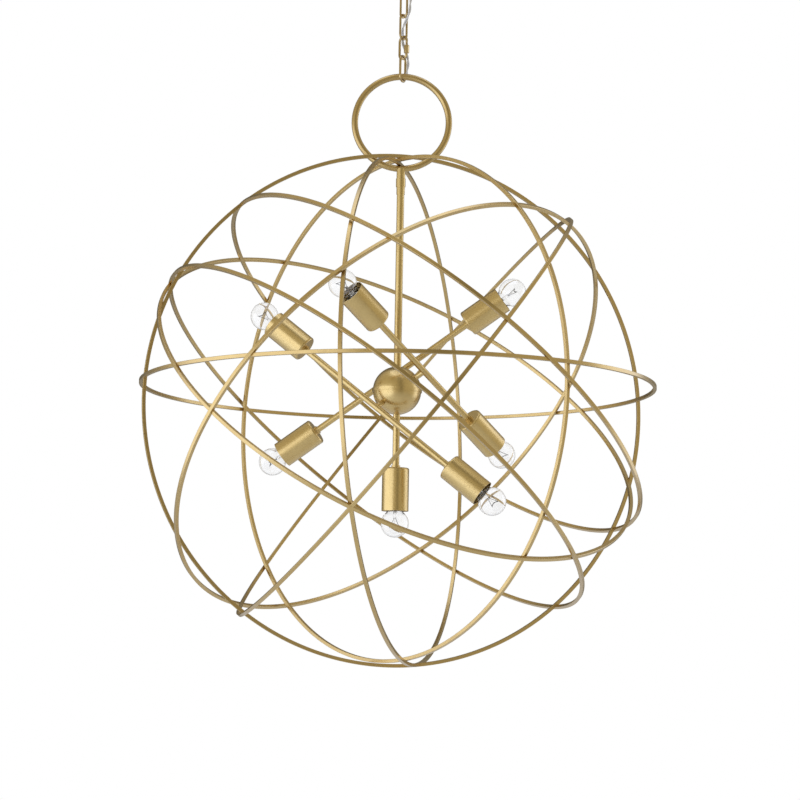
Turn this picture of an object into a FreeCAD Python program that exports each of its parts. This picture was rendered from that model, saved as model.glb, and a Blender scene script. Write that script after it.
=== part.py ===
import FreeCAD, Part
import math
import os

import Sketcher
from FreeCAD import Vector

# Orb chandelier: nine wire hoops welded into an open sphere, hung by a hollow ring and a chain
# from a ceiling canopy. A stem inside the sphere carries a ball with three lamp arms.
# Millimetres, +Z up. The origin is the middle of the canopy's rim, on the ceiling.
# The viewer stands on the -Y side.

doc = FreeCAD.newDocument("orb_chandelier")

# Driving sizes.
SIZES = {
    # ceiling fitting
    "canopy_diameter": 127.0,
    "canopy_depth": 28.0,
    "canopy_wall": 1.2,
    "canopy_corner": 14.0,
    "crossbar_length": 108.0,
    "crossbar_width": 20.0,
    "crossbar_thick": 2.5,
    "crossbar_hole_spacing": 88.9,
    "crossbar_hole_diameter": 5.2,
    "nipple_diameter": 9.6,
    "nipple_bore": 7.0,
    "nut_across": 17.0,
    "nut_thick": 4.0,
    "collar_diameter": 22.0,
    "collar_height": 5.0,
    "loop_base_diameter": 16.0,
    "loop_base_height": 13.0,
    "loop_mean_diameter": 24.0,
    "loop_wire": 5.0,
    # chain
    "link_pitch": 40.6,
    "link_legs_apart": 14.7,
    "link_wire": 3.6,
    "quick_pitch": 37.0,
    "hanger_pitch": 42.0,
    "hanger_legs_apart": 18.0,
    "hanger_wire": 4.0,
    "quick_legs_apart": 16.0,
    "quick_gap": 4.5,
    "quick_gap_drop": 3.0,
    "quick_nut_across": 7.6,
    "quick_nut_length": 13.0,
    "quick_nut_rest": 0.2,
    # hanging ring and stem
    "ring_mean_diameter": 153.0,
    "ring_tube": 10.4,
    "ring_wall": 1.2,
    "wire_hole": 6.0,
    "wire_hole_turn": 4.2,
    "neck_diameter": 14.0,
    "neck_height": 9.5,
    "coupling_diameter": 15.6,
    "coupling_height": 17.0,
    "coupling_groove": 1.8,
    "stem_nut_diameter": 13.6,
    "stem_nut_height": 10.7,
    "stem_diameter": 12.0,
    "stem_wall": 1.2,
    "lower_stem_diameter": 11.0,
    # ball and arms
    "ball_drop": 362.5,
    "ball_diameter": 77.6,
    "ball_wall": 1.2,
    "band_height": 5.6,
    "band_lip": 1.2,
    "hub_diameter": 30.0,
    "hub_height": 30.0,
    "arm_diameter": 10.0,
    "arm_wall": 1.2,
    "arm_offset": 55.5,
    "stub_diameter": 8.8,
    "stub_bore": 5.0,
    "long_arm_length": 440.0,
    "short_arm_length": 370.0,
    "lower_lamp_drop": 193.0,
    # lamp cups, holders and bulbs
    "cup_length": 69.0,
    "cup_diameter": 43.0,
    "cup_wall": 1.2,
    "cup_rounding": 3.0,
    "ferrule_diameter": 14.0,
    "ferrule_height": 4.0,
    "holder_diameter": 36.0,
    "holder_length": 34.0,
    "holder_setback": 11.0,
    "cap_diameter": 26.0,
    "cap_length": 27.0,
    "cap_setback": 5.0,
    "cap_wall": 0.6,
    "globe_diameter": 44.6,
    "globe_ahead": 19.7,
    "glass_wall": 0.8,
    "neck_inset": 6.0,
    # hoops
    "hoop_wire": 6.3,
    "sphere_drop": 465.0,
    # clearances
    "swing_gap": 0.3,
    "thread_gap": 0.05,
    "fit_gap": 0.1,
}

# Each hoop: tilt of its axis from upright and turn of that tilt about Z (degrees), diameter of its
# wire's centre line, and how far its centre lies from the sphere's centre along X, Y and Z (mm).
HOOPS = {
    "hoop_level": (0.6, 118.0, 818.5, 1.1, 5.1, 29.9),
    "hoop_broad": (88.7, 105.0, 820.8, 3.5, 10.4, -1.0),
    "hoop_slim": (87.4, -13.7, 806.7, 16.6, 1.2, -6.5),
    "hoop_diagonal": (88.8, -140.3, 807.2, -10.6, -4.6, -0.4),
    "hoop_tilted_upper": (37.9, 19.2, 807.1, 54.0, 22.6, 63.4),
    "hoop_tilted_lower": (38.3, 18.1, 818.7, -39.8, -7.8, -58.9),
    "hoop_leaning_left": (39.7, -52.0, 819.6, 5.5, -6.2, 12.9),
    "hoop_leaning_right": (48.1, 143.1, 819.6, -1.1, 0.3, -14.8),
    "hoop_steep": (51.9, -169.9, 818.4, 10.4, 5.6, -13.1),
}

# Each arm: turn and rise of its near half (degrees), and where its stub sits about its own axis.
ARMS = {
    "arm_low": (-12.6, -38.4, -44.7, "long_arm_length"),
    "arm_high": (-142.2, 36.7, 131.1, "short_arm_length"),
    "arm_rear": (-11.3, 34.9, 126.0, "long_arm_length"),
}

# Turn about Z of each chain link's plane (degrees), top to bottom.
LINK_TURNS = {"canopy_loop": 45.0, "chain_link_1": -45.0, "chain_link_2": 45.0,
              "quick_link": -45.0, "hanger_link": 63.0}

sheet = doc.addObject("Spreadsheet::Sheet", "Sizes")
for row, (alias, value) in enumerate(SIZES.items(), 1):
    sheet.set(f"A{row}", alias)
    sheet.set(f"B{row}", str(value))
    sheet.setAlias(f"B{row}", alias)
row = len(SIZES)
for hoop, values in HOOPS.items():
    words = ("tilt", "turn", "diameter", "x", "y", "z")
    for word, value in zip(words, values):
        row += 1
        sheet.set(f"A{row}", f"{hoop}_{word}")
        sheet.set(f"B{row}", str(value))
        sheet.setAlias(f"B{row}", f"{hoop}_{word}")
for arm, values in ARMS.items():
    for word, value in zip(("turn", "rise", "roll"), values):
        row += 1
        sheet.set(f"A{row}", f"{arm}_{word}")
        sheet.set(f"B{row}", str(value))
        sheet.setAlias(f"B{row}", f"{arm}_{word}")
for link, value in LINK_TURNS.items():
    row += 1
    sheet.set(f"A{row}", f"{link}_turn")
    sheet.set(f"B{row}", str(value))
    sheet.setAlias(f"B{row}", f"{link}_turn")
doc.recompute()

# Heights and places that follow from the sizes.
places = doc.addObject("App::FeaturePython", "Places")


def level(name, expression):
    """A height or length worked out from the sizes, kept under a name of its own."""
    places.addProperty("App::PropertyFloat", name, "Levels")
    places.setExpression(name, expression)


def place(name, expression):
    """A frame worked out from the sizes, kept under a name of its own."""
    places.addProperty("App::PropertyPlacement", name, "Places")
    places.setExpression(name, expression)


def at(z, turn="0"):
    return f"placement(vector(0; 0; {z}); rotation({turn}; 0; 0))"


# The chain hangs link by link: each wire rests in the one above it.
level("loop_centre", "-Sizes.canopy_depth - Sizes.loop_base_height - Sizes.loop_mean_diameter / 2")
level("loop_low", "loop_centre - Sizes.loop_mean_diameter / 2")
level("link_1_high", "loop_low + (Sizes.loop_wire + Sizes.link_wire) / 2 + Sizes.swing_gap")
level("link_1_low", "link_1_high - Sizes.link_pitch")
level("link_2_high", "link_1_low + Sizes.link_wire + Sizes.swing_gap")
level("link_2_low", "link_2_high - Sizes.link_pitch")
level("quick_high", "link_2_low + (Sizes.link_wire + Sizes.hanger_wire) / 2 + Sizes.swing_gap")
level("quick_low", "quick_high - Sizes.quick_pitch")
level("hanger_high", "quick_low + Sizes.hanger_wire + Sizes.swing_gap")
level("hanger_low", "hanger_high - Sizes.hanger_pitch")
level("ring_high", "hanger_low + (Sizes.hanger_wire + Sizes.ring_tube) / 2 + Sizes.swing_gap")
level("ring_centre", "ring_high - Sizes.ring_mean_diameter / 2")
level("ring_low", "ring_high - Sizes.ring_mean_diameter")
level("sphere_centre", "ring_centre - Sizes.sphere_drop")
level("neck_low", "ring_low - Sizes.ring_tube / 2 - Sizes.neck_height")
level("coupling_low", "neck_low - Sizes.coupling_height")
level("stem_nut_low", "coupling_low - Sizes.stem_nut_height")
level("ball_centre", "ring_low - Sizes.ball_drop")
level("hub_half", "Sizes.hub_height / 2")
level("bulb_base", "Sizes.cup_length - Sizes.cap_setback - Sizes.cap_length")
level("holder_base", "Sizes.cup_length - Sizes.holder_setback - Sizes.holder_length")
level("lower_cup_back", "ball_centre - Sizes.lower_lamp_drop + Sizes.cup_length")
level("lower_stem_foot", "lower_cup_back - holder_base")
level("lower_stem_length", "ball_centre - hub_half - lower_stem_foot")
level("neck_radius", "Sizes.cap_diameter / 2 - Sizes.cap_wall - Sizes.fit_gap")
level("neck_inner", "neck_radius - Sizes.glass_wall")
level("neck_height_in_cup", "bulb_base + Sizes.cap_length - Sizes.neck_inset")
level("globe_radius", "Sizes.globe_diameter / 2")
level("globe_inner", "globe_radius - Sizes.glass_wall")
level("nut_radius", "Sizes.nut_across / sqrt(3)")
level("quick_nut_radius", "Sizes.quick_nut_across / sqrt(3)")
level("quick_nut_low", "quick_low + Sizes.quick_legs_apart / 2 + Sizes.quick_nut_rest")
doc.recompute()

pieces = {}


def keep(label, obj, where=None):
    """Names a finished piece and sets its place."""
    obj.Label = label
    if where:
        obj.setExpression("Placement", where)
    pieces[label] = obj
    return obj


def role(body, name):
    return next(f for f in body.Origin.OriginFeatures if f.Role == name)


def value_of(expression):
    return 0.0 if expression == "0" else float(places.evalExpression(expression))


def outline(body, name, plane, points):
    """A closed sketch of straight lines whose corners are bound to the sizes.
    Each corner is a pair of expressions, measured from the sketch's origin, never negative."""
    sketch = body.newObject("Sketcher::SketchObject", name)
    sketch.AttachmentSupport = [(role(body, plane), "")]
    sketch.MapMode = "FlatFace"
    spots = [Vector(value_of(a), value_of(b), 0) for a, b in points]
    count = len(points)
    for i in range(count):
        sketch.addGeometry(Part.LineSegment(spots[i], spots[(i + 1) % count]))
    for i in range(count):
        sketch.addConstraint(Sketcher.Constraint("Coincident", i, 2, (i + 1) % count, 1))
    for i, (across, up) in enumerate(points):
        for kind, expression, axis in (("DistanceX", across, -2), ("DistanceY", up, -1)):
            if expression == "0":
                sketch.addConstraint(Sketcher.Constraint("PointOnObject", i, 1, axis))
                continue
            start = spots[i].x if kind == "DistanceX" else spots[i].y
            at_line = sketch.addConstraint(Sketcher.Constraint(kind, -1, 1, i, 1, start))
            sketch.setExpression(f"Constraints[{at_line}]", expression)
    return sketch


def turned(label, points, where=None):
    """A turned piece: its half section spun round Z."""
    body = doc.addObject("PartDesign::Body", label)
    sketch = outline(body, label + "_section", "XZ_Plane", points)
    spin = body.newObject("PartDesign::Revolution", label + "_spin")
    spin.Profile = sketch
    spin.ReferenceAxis = (sketch, ["V_Axis"])
    spin.Angle = 360.0
    return keep(label, body, where)


def round_edge(body, radius, height, by):
    """Rounds the circular edge that has that radius and height in the body's own frame."""
    body.recompute(True)
    shape = body.Tip.Shape
    for number, edge in enumerate(shape.Edges, 1):
        curve = edge.Curve
        if not isinstance(curve, Part.Circle):
            continue
        if abs(curve.Radius - value_of(radius)) < 1e-4 and abs(curve.Center.z - value_of(height)) < 1e-4:
            base = body.Tip
            fillet = body.newObject("PartDesign::Fillet", body.Label + "_rounding")
            fillet.Base = (base, [f"Edge{number}"])
            fillet.setExpression("Radius", by)
            body.Tip = fillet
            return
    raise RuntimeError(f"{body.Label}: no edge to round")


def solid(kind, name, **sizes):
    """A primitive with its sizes bound to expressions."""
    obj = doc.addObject(kind, name)
    for prop, expression in sizes.items():
        obj.setExpression(prop, expression)
    return obj


def placed(obj, where):
    obj.setExpression("Placement", where)
    return obj


def less(name, base, tool):
    cut = doc.addObject("Part::Cut", name)
    cut.Base, cut.Tool = base, tool
    return cut


def joined(name, shapes):
    fuse = doc.addObject("Part::MultiFuse", name)
    fuse.Shapes = shapes
    fuse.Refine = True
    return fuse


def group(name, shapes):
    """Several equal solids in one node."""
    compound = doc.addObject("Part::Compound", name)
    compound.Links = shapes
    return compound


# Ceiling fitting.
canopy = turned("canopy", [
    ("Sizes.nipple_diameter / 2 + Sizes.fit_gap", "0"),
    ("Sizes.canopy_diameter / 2", "0"),
    ("Sizes.canopy_diameter / 2", "Sizes.canopy_depth"),
    ("Sizes.canopy_diameter / 2 - Sizes.canopy_wall", "Sizes.canopy_depth"),
    ("Sizes.canopy_diameter / 2 - Sizes.canopy_wall", "Sizes.canopy_wall"),
    ("Sizes.nipple_diameter / 2 + Sizes.fit_gap", "Sizes.canopy_wall"),
], at("-Sizes.canopy_depth"))
round_edge(canopy, "Sizes.canopy_diameter / 2 - Sizes.canopy_wall", "Sizes.canopy_wall",
           "Sizes.canopy_corner - Sizes.canopy_wall")
round_edge(canopy, "Sizes.canopy_diameter / 2", "0 * Sizes.canopy_depth", "Sizes.canopy_corner")

bar = doc.addObject("PartDesign::Body", "crossbar")
half_bar = [("0", "0"), ("Sizes.crossbar_length", "0"),
            ("Sizes.crossbar_length", "Sizes.crossbar_width"), ("0", "Sizes.crossbar_width")]
bar_sketch = outline(bar, "crossbar_face", "XY_Plane", half_bar)
spots = [("Sizes.crossbar_length / 2 - Sizes.crossbar_hole_spacing / 2", "Sizes.crossbar_hole_diameter / 2"),
         ("Sizes.crossbar_length / 2 + Sizes.crossbar_hole_spacing / 2", "Sizes.crossbar_hole_diameter / 2"),
         ("Sizes.crossbar_length / 2", "Sizes.nipple_diameter / 2 + Sizes.thread_gap")]
for across, radius in spots:
    centre = Vector(value_of(across), value_of("Sizes.crossbar_width / 2"), 0)
    ring_line = bar_sketch.addGeometry(Part.Circle(centre, Vector(0, 0, 1), value_of(radius)))
    for kind, expression in (("DistanceX", across), ("DistanceY", "Sizes.crossbar_width / 2")):
        start = centre.x if kind == "DistanceX" else centre.y
        at_line = bar_sketch.addConstraint(Sketcher.Constraint(kind, -1, 1, ring_line, 3, start))
        bar_sketch.setExpression(f"Constraints[{at_line}]", expression)
    at_line = bar_sketch.addConstraint(Sketcher.Constraint("Radius", ring_line, value_of(radius)))
    bar_sketch.setExpression(f"Constraints[{at_line}]", radius)
bar_pad = bar.newObject("PartDesign::Pad", "crossbar_plate")
bar_pad.Profile = bar_sketch
bar_pad.setExpression("Length", "Sizes.crossbar_thick")
doc.recompute()
keep("crossbar", bar, "placement(vector(-Sizes.crossbar_length / 2; -Sizes.crossbar_width / 2; "
     "-Sizes.crossbar_thick); rotation(0; 0; 0))")

# The threaded tube hangs from the crossbar and ends inside the loop's base.
turned("nipple", [
    ("Sizes.nipple_bore / 2", "0"),
    ("Sizes.nipple_diameter / 2", "0"),
    ("Sizes.nipple_diameter / 2", "Sizes.canopy_depth + Sizes.collar_height + Sizes.nut_thick / 2"),
    ("Sizes.nipple_bore / 2", "Sizes.canopy_depth + Sizes.collar_height + Sizes.nut_thick / 2"),
], at("-Sizes.canopy_depth - Sizes.collar_height - Sizes.nut_thick / 2"))

hex_nut = solid("Part::Prism", "lock_nut_body", Circumradius="Places.nut_radius", Height="Sizes.nut_thick")
hex_nut.Polygon = 6
nut_bore = solid("Part::Cylinder", "lock_nut_bore", Radius="Sizes.nipple_diameter / 2 + Sizes.thread_gap",
                 Height="Sizes.nut_thick")
keep("lock_nut", less("lock_nut_cut", hex_nut, nut_bore), at("-Sizes.crossbar_thick - Sizes.nut_thick"))

turned("collar_nut", [
    ("Sizes.nipple_diameter / 2 + Sizes.thread_gap", "0"),
    ("Sizes.collar_diameter / 2 - Sizes.collar_height / 4", "0"),
    ("Sizes.collar_diameter / 2", "Sizes.collar_height / 4"),
    ("Sizes.collar_diameter / 2", "Sizes.collar_height"),
    ("Sizes.nipple_diameter / 2 + Sizes.thread_gap", "Sizes.collar_height"),
], at("-Sizes.canopy_depth - Sizes.collar_height"))

# The loop is cast in one piece with its threaded base, which is open at the side for the cord.
base = placed(solid("Part::Cylinder", "loop_base", Radius="Sizes.loop_base_diameter / 2",
                    Height="Sizes.loop_base_height - Sizes.collar_height + Sizes.loop_wire / 2"),
              at("-Sizes.canopy_depth - Sizes.loop_base_height - Sizes.loop_wire / 2"))
eye = placed(solid("Part::Torus", "loop_eye", Radius1="Sizes.loop_mean_diameter / 2",
                   Radius2="Sizes.loop_wire / 2"),
             "placement(vector(0; 0; Places.loop_centre); rotation(Sizes.canopy_loop_turn; 0; 90))")
loop_body = joined("loop_casting", [base, eye])
thread = placed(solid("Part::Cylinder", "loop_thread", Radius="Sizes.nipple_diameter / 2 + Sizes.thread_gap",
                      Height="Sizes.nut_thick / 2"),
                at("-Sizes.canopy_depth - Sizes.collar_height - Sizes.nut_thick / 2"))
way_out = placed(solid("Part::Cylinder", "loop_wire_way", Radius="Sizes.wire_hole / 2",
                       Height="Sizes.loop_base_diameter"),
                 "placement(vector(0; 0; -Sizes.canopy_depth - Sizes.collar_height - Sizes.nut_thick / 2);"
                 " rotation(-42; 119; 0))")
keep("canopy_loop", less("loop_wired", less("loop_tapped", loop_body, thread), way_out))


# Chain.
def oval(name, pitch, apart, wire, gap=None):
    """An oval wire link in its XZ plane, its upper wire's centre at Z 0 and its lower one at -pitch."""
    high, low = f"-{apart} / 2", f"-({pitch}) + {apart} / 2"
    parts = []
    for end, spot, flip in (("top", high, 0), ("foot", low, 180)):
        bend = solid("Part::Torus", f"{name}_{end}", Radius1=f"{apart} / 2", Radius2=f"{wire} / 2")
        bend.Angle3 = 180.0
        parts.append(placed(bend, f"placement(vector(0; 0; {spot}); rotation(0; {flip}; 90))"))
    leg = solid("Part::Cylinder", f"{name}_left_leg", Radius=f"{wire} / 2", Height=f"{pitch} - {apart}")
    parts.append(placed(leg, f"placement(vector(-{apart} / 2; 0; {low}); rotation(0; 0; 0))"))
    if gap is None:
        leg = solid("Part::Cylinder", f"{name}_right_leg", Radius=f"{wire} / 2", Height=f"{pitch} - {apart}")
        parts.append(placed(leg, f"placement(vector({apart} / 2; 0; {low}); rotation(0; 0; 0))"))
    else:
        drop, width = gap
        lower = solid("Part::Cylinder", f"{name}_lower_leg", Radius=f"{wire} / 2", Height=drop)
        parts.append(placed(lower, f"placement(vector({apart} / 2; 0; {low}); rotation(0; 0; 0))"))
        upper = solid("Part::Cylinder", f"{name}_upper_leg", Radius=f"{wire} / 2",
                      Height=f"{pitch} - {apart} - {drop} - {width}")
        parts.append(placed(upper, f"placement(vector({apart} / 2; 0; {low} + {drop} + {width});"
                            " rotation(0; 0; 0))"))
    return joined(name + "_wire", parts)


for label, high in (("chain_link_1", "link_1_high"), ("chain_link_2", "link_2_high")):
    link = oval(label, "Sizes.link_pitch", "Sizes.link_legs_apart", "Sizes.link_wire")
    keep(label, link, at(f"Places.{high}", f"Sizes.{label}_turn"))
quick = oval("quick_link", "Sizes.quick_pitch", "Sizes.quick_legs_apart", "Sizes.hanger_wire",
             ("Sizes.quick_gap_drop", "Sizes.quick_gap"))
keep("quick_link", quick, at("Places.quick_high", "Sizes.quick_link_turn"))
hanger = oval("hanger_link", "Sizes.hanger_pitch", "Sizes.hanger_legs_apart", "Sizes.hanger_wire")
keep("hanger_link", hanger, at("Places.hanger_high", "Sizes.hanger_link_turn"))

# The closing nut spans the quick link's gap; run up the leg, it opens it.
sleeve = solid("Part::Prism", "quick_nut_body", Circumradius="Places.quick_nut_radius",
               Height="Sizes.quick_nut_length")
sleeve.Polygon = 6
sleeve_bore = solid("Part::Cylinder", "quick_nut_bore", Radius="Sizes.hanger_wire / 2 + Sizes.thread_gap",
                    Height="Sizes.quick_nut_length")
keep("quick_link_nut", less("quick_nut_cut", sleeve, sleeve_bore),
     "placement(vector(0; 0; Places.quick_nut_low); rotation(Sizes.quick_link_turn; 0; 0))"
     " * placement(vector(Sizes.quick_legs_apart / 2; 0; 0); rotation(15; 0; 0))")


# Hanging ring and stem.
def ring_torus(name, radius):
    torus = solid("Part::Torus", name, Radius1="Sizes.ring_mean_diameter / 2", Radius2=radius)
    return placed(torus, "placement(vector(0; 0; Places.ring_centre); rotation(0; 0; 90))")


hollow = less("ring_hollow", ring_torus("ring_outside", "Sizes.ring_tube / 2"),
              ring_torus("ring_inside", "Sizes.ring_tube / 2 - Sizes.ring_wall"))
entry = placed(solid("Part::Cylinder", "ring_entry", Radius="Sizes.wire_hole / 2", Height="Sizes.ring_tube"),
               "placement(vector(0; 0; Places.ring_centre); rotation(0; Sizes.wire_hole_turn; 0))"
               " * placement(vector(0; 0; Sizes.ring_mean_diameter / 2); rotation(0; 0; 0))")
outlet = placed(solid("Part::Cylinder", "ring_outlet", Radius="Sizes.wire_hole / 2",
                      Height="Sizes.ring_tube"),
                at("Places.ring_low - Sizes.ring_tube"))
keep("hanging_ring", less("ring_drilled", less("ring_entered", hollow, entry), outlet))

# The neck is saddled to the ring's tube and brazed there.
neck = placed(solid("Part::Cylinder", "neck_bar", Radius="Sizes.neck_diameter / 2",
                    Height="Sizes.neck_height + Sizes.ring_tube / 2"), at("Places.neck_low"))
neck_bore = placed(solid("Part::Cylinder", "neck_bore", Radius="Sizes.wire_hole / 2",
                         Height="Sizes.neck_height + Sizes.ring_tube"), at("Places.neck_low"))
saddle = ring_torus("neck_saddle", "Sizes.ring_tube / 2")
keep("ring_neck", less("neck_saddled", less("neck_drilled", neck, neck_bore), saddle))

turned("stem_coupling", [
    ("Sizes.wire_hole / 2", "0"),
    ("Sizes.coupling_diameter / 2 - Sizes.coupling_groove / 2", "0"),
    ("Sizes.coupling_diameter / 2 - Sizes.coupling_groove / 2", "Sizes.coupling_groove"),
    ("Sizes.coupling_diameter / 2", "Sizes.coupling_groove"),
    ("Sizes.coupling_diameter / 2", "Sizes.coupling_height - Sizes.coupling_groove"),
    ("Sizes.coupling_diameter / 2 - Sizes.coupling_groove / 2",
     "Sizes.coupling_height - Sizes.coupling_groove"),
    ("Sizes.coupling_diameter / 2 - Sizes.coupling_groove / 2", "Sizes.coupling_height"),
    ("Sizes.wire_hole / 2", "Sizes.coupling_height"),
], at("Places.coupling_low"))
turned("stem_nut", [
    ("Sizes.wire_hole / 2", "0"),
    ("Sizes.stem_nut_diameter / 2", "0"),
    ("Sizes.stem_nut_diameter / 2", "Sizes.stem_nut_height"),
    ("Sizes.wire_hole / 2", "Sizes.stem_nut_height"),
], at("Places.stem_nut_low"))
turned("upper_stem", [
    ("Sizes.stem_diameter / 2 - Sizes.stem_wall", "0"),
    ("Sizes.stem_diameter / 2", "0"),
    ("Sizes.stem_diameter / 2", "Places.stem_nut_low - Places.ball_centre - Places.hub_half"),
    ("Sizes.stem_diameter / 2 - Sizes.stem_wall",
     "Places.stem_nut_low - Places.ball_centre - Places.hub_half"),
], at("Places.ball_centre + Places.hub_half"))
turned("lower_stem", [
    ("Sizes.lower_stem_diameter / 2 - Sizes.stem_wall", "0"),
    ("Sizes.lower_stem_diameter / 2", "0"),
    ("Sizes.lower_stem_diameter / 2", "Places.lower_stem_length"),
    ("Sizes.lower_stem_diameter / 2 - Sizes.stem_wall", "Places.lower_stem_length"),
], at("Places.lower_stem_foot"))

# Arms.
# An arm's own frame has Z along the tube, its middle at the origin, and X along its stub, outward.
for arm in ARMS:
    place(arm, "placement(vector(0; 0; ball_centre); rotation(0; 0; 0))"
          f" * placement(vector(0; 0; 0); rotation(Sizes.{arm}_turn; 90 - Sizes.{arm}_rise; 0))"
          f" * placement(vector(0; 0; 0); rotation(Sizes.{arm}_roll; 0; 0))"
          " * placement(vector(Sizes.arm_offset; 0; 0); rotation(0; 0; 0))")


def arm_cylinder(name, arm, radius):
    """A bar along an arm's whole tube, of another radius where needed."""
    length = f"Sizes.{ARMS[arm][3]} - 2 * (Sizes.cup_length - Places.holder_base)"
    bar_solid = solid("Part::Cylinder", name, Radius=radius, Height=length)
    return placed(bar_solid, f"Places.{arm} * placement(vector(0; 0; -({length}) / 2); rotation(0; 0; 0))")


def stub_cylinder(name, arm, radius, start, stop):
    """A bar along an arm's stub, from start to stop, both measured from the ball's centre."""
    bar_solid = solid("Part::Cylinder", name, Radius=radius, Height=f"({stop}) - ({start})")
    return placed(bar_solid, f"Places.{arm} * placement(vector(({start}) - Sizes.arm_offset; 0; 0);"
                  " rotation(0; 90; 0))")


stubs = []
for arm in ARMS:
    tube = less(arm + "_tube", arm_cylinder(arm + "_outside", arm, "Sizes.arm_diameter / 2"),
                arm_cylinder(arm + "_bore", arm, "Sizes.arm_diameter / 2 - Sizes.arm_wall"))
    port = stub_cylinder(arm + "_port", arm, "Sizes.stub_bore / 2",
                         "Sizes.arm_offset - Sizes.arm_diameter", "Sizes.arm_offset")
    keep(arm, less(arm + "_ported", tube, port))
    stub = less(arm + "_stub_tube",
                stub_cylinder(arm + "_stub_outside", arm, "Sizes.stub_diameter / 2",
                              "Sizes.hub_diameter / 2 - Sizes.stub_bore / 2", "Sizes.arm_offset"),
                stub_cylinder(arm + "_stub_bore", arm, "Sizes.stub_bore / 2",
                              "0 * Sizes.stub_bore", "Sizes.arm_offset"))
    stubs.append(less(arm + "_stub", stub, arm_cylinder(arm + "_cope", arm, "Sizes.arm_diameter / 2")))
keep("arm_stubs", group("arm_stub_set", stubs))

# Ball: two spun halves round a hub. The upper one has the band that laps over the joint.
hub = placed(solid("Part::Cylinder", "hub_bar", Radius="Sizes.hub_diameter / 2", Height="Sizes.hub_height"),
             at("Places.ball_centre - Places.hub_half"))
bores = [placed(solid("Part::Cylinder", "hub_wireway", Radius="Sizes.wire_hole / 2",
                      Height="Sizes.hub_height"),
                at("Places.ball_centre - Places.hub_half"))]
for arm in ARMS:
    bores.append(stub_cylinder(arm + "_socket", arm, "Sizes.stub_diameter / 2 + Sizes.thread_gap",
                               "Sizes.hub_diameter / 2 - Sizes.stub_bore / 2", "Sizes.hub_diameter"))
    bores.append(stub_cylinder(arm + "_wireway", arm, "Sizes.stub_bore / 2",
                               "0 * Sizes.stub_bore", "Sizes.hub_diameter"))
keep("hub", less("hub_bored", hub, joined("hub_bores", bores)))


def half_ball(name, upper, radius):
    half = solid("Part::Sphere", name, Radius=radius)
    half.Angle1, half.Angle2 = (0.0, 90.0) if upper else (-90.0, 0.0)
    return placed(half, at("Places.ball_centre"))


for upper in (True, False):
    label = "ball_upper" if upper else "ball_lower"
    outside = half_ball(label + "_outside", upper, "Sizes.ball_diameter / 2")
    if upper:
        lip = placed(solid("Part::Cylinder", "ball_band", Radius="Sizes.ball_diameter / 2 + Sizes.band_lip",
                           Height="Sizes.band_height"), at("Places.ball_centre - Sizes.band_height / 2"))
        outside = joined(label + "_banded", [outside, lip])
    inside = half_ball(label + "_inside", upper, "Sizes.ball_diameter / 2 - Sizes.ball_wall")
    shell = less(label + "_shell", outside, inside)
    if upper:
        lap = solid("Part::Cylinder", "ball_lap", Radius="Sizes.ball_diameter / 2 + Sizes.thread_gap",
                    Height="Sizes.band_height / 2")
        shell = less("ball_upper_lap", shell, placed(lap, at("Places.ball_centre - Sizes.band_height / 2")))
    stem_size = "Sizes.stem_diameter" if upper else "Sizes.lower_stem_diameter"
    foot = "Places.ball_centre" if upper else "Places.ball_centre - Sizes.ball_diameter"
    cutters = [placed(solid("Part::Cylinder", label + "_stem_hole", Radius=f"{stem_size} / 2 + Sizes.fit_gap",
                            Height="Sizes.ball_diameter"), at(foot))]
    for arm in ARMS:
        cutters.append(stub_cylinder(f"{label}_{arm}_hole", arm, "Sizes.stub_diameter / 2 + Sizes.fit_gap",
                                     "Sizes.hub_diameter / 2", "Sizes.ball_diameter"))
    keep(label, less(label + "_drilled", shell, joined(label + "_holes", cutters)))

# Lamps.
# A lamp's own frame has Z along its axis, out of the cup, and its origin at the cup's closed back.
LAMPS = {}
for number, arm in enumerate(ARMS):
    length = ARMS[arm][3]
    LAMPS[2 * number + 1] = (f"{arm} * placement(vector(0; 0; Sizes.{length} / 2 - Sizes.cup_length);"
                             " rotation(0; 0; 0))", "Sizes.arm_diameter")
    LAMPS[2 * number + 2] = (f"{arm} * placement(vector(0; 0; Sizes.cup_length - Sizes.{length} / 2);"
                             " rotation(0; 0; 180))", "Sizes.arm_diameter")
LAMPS[7] = ("placement(vector(0; 0; lower_cup_back); rotation(0; 0; 180))", "Sizes.lower_stem_diameter")

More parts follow.
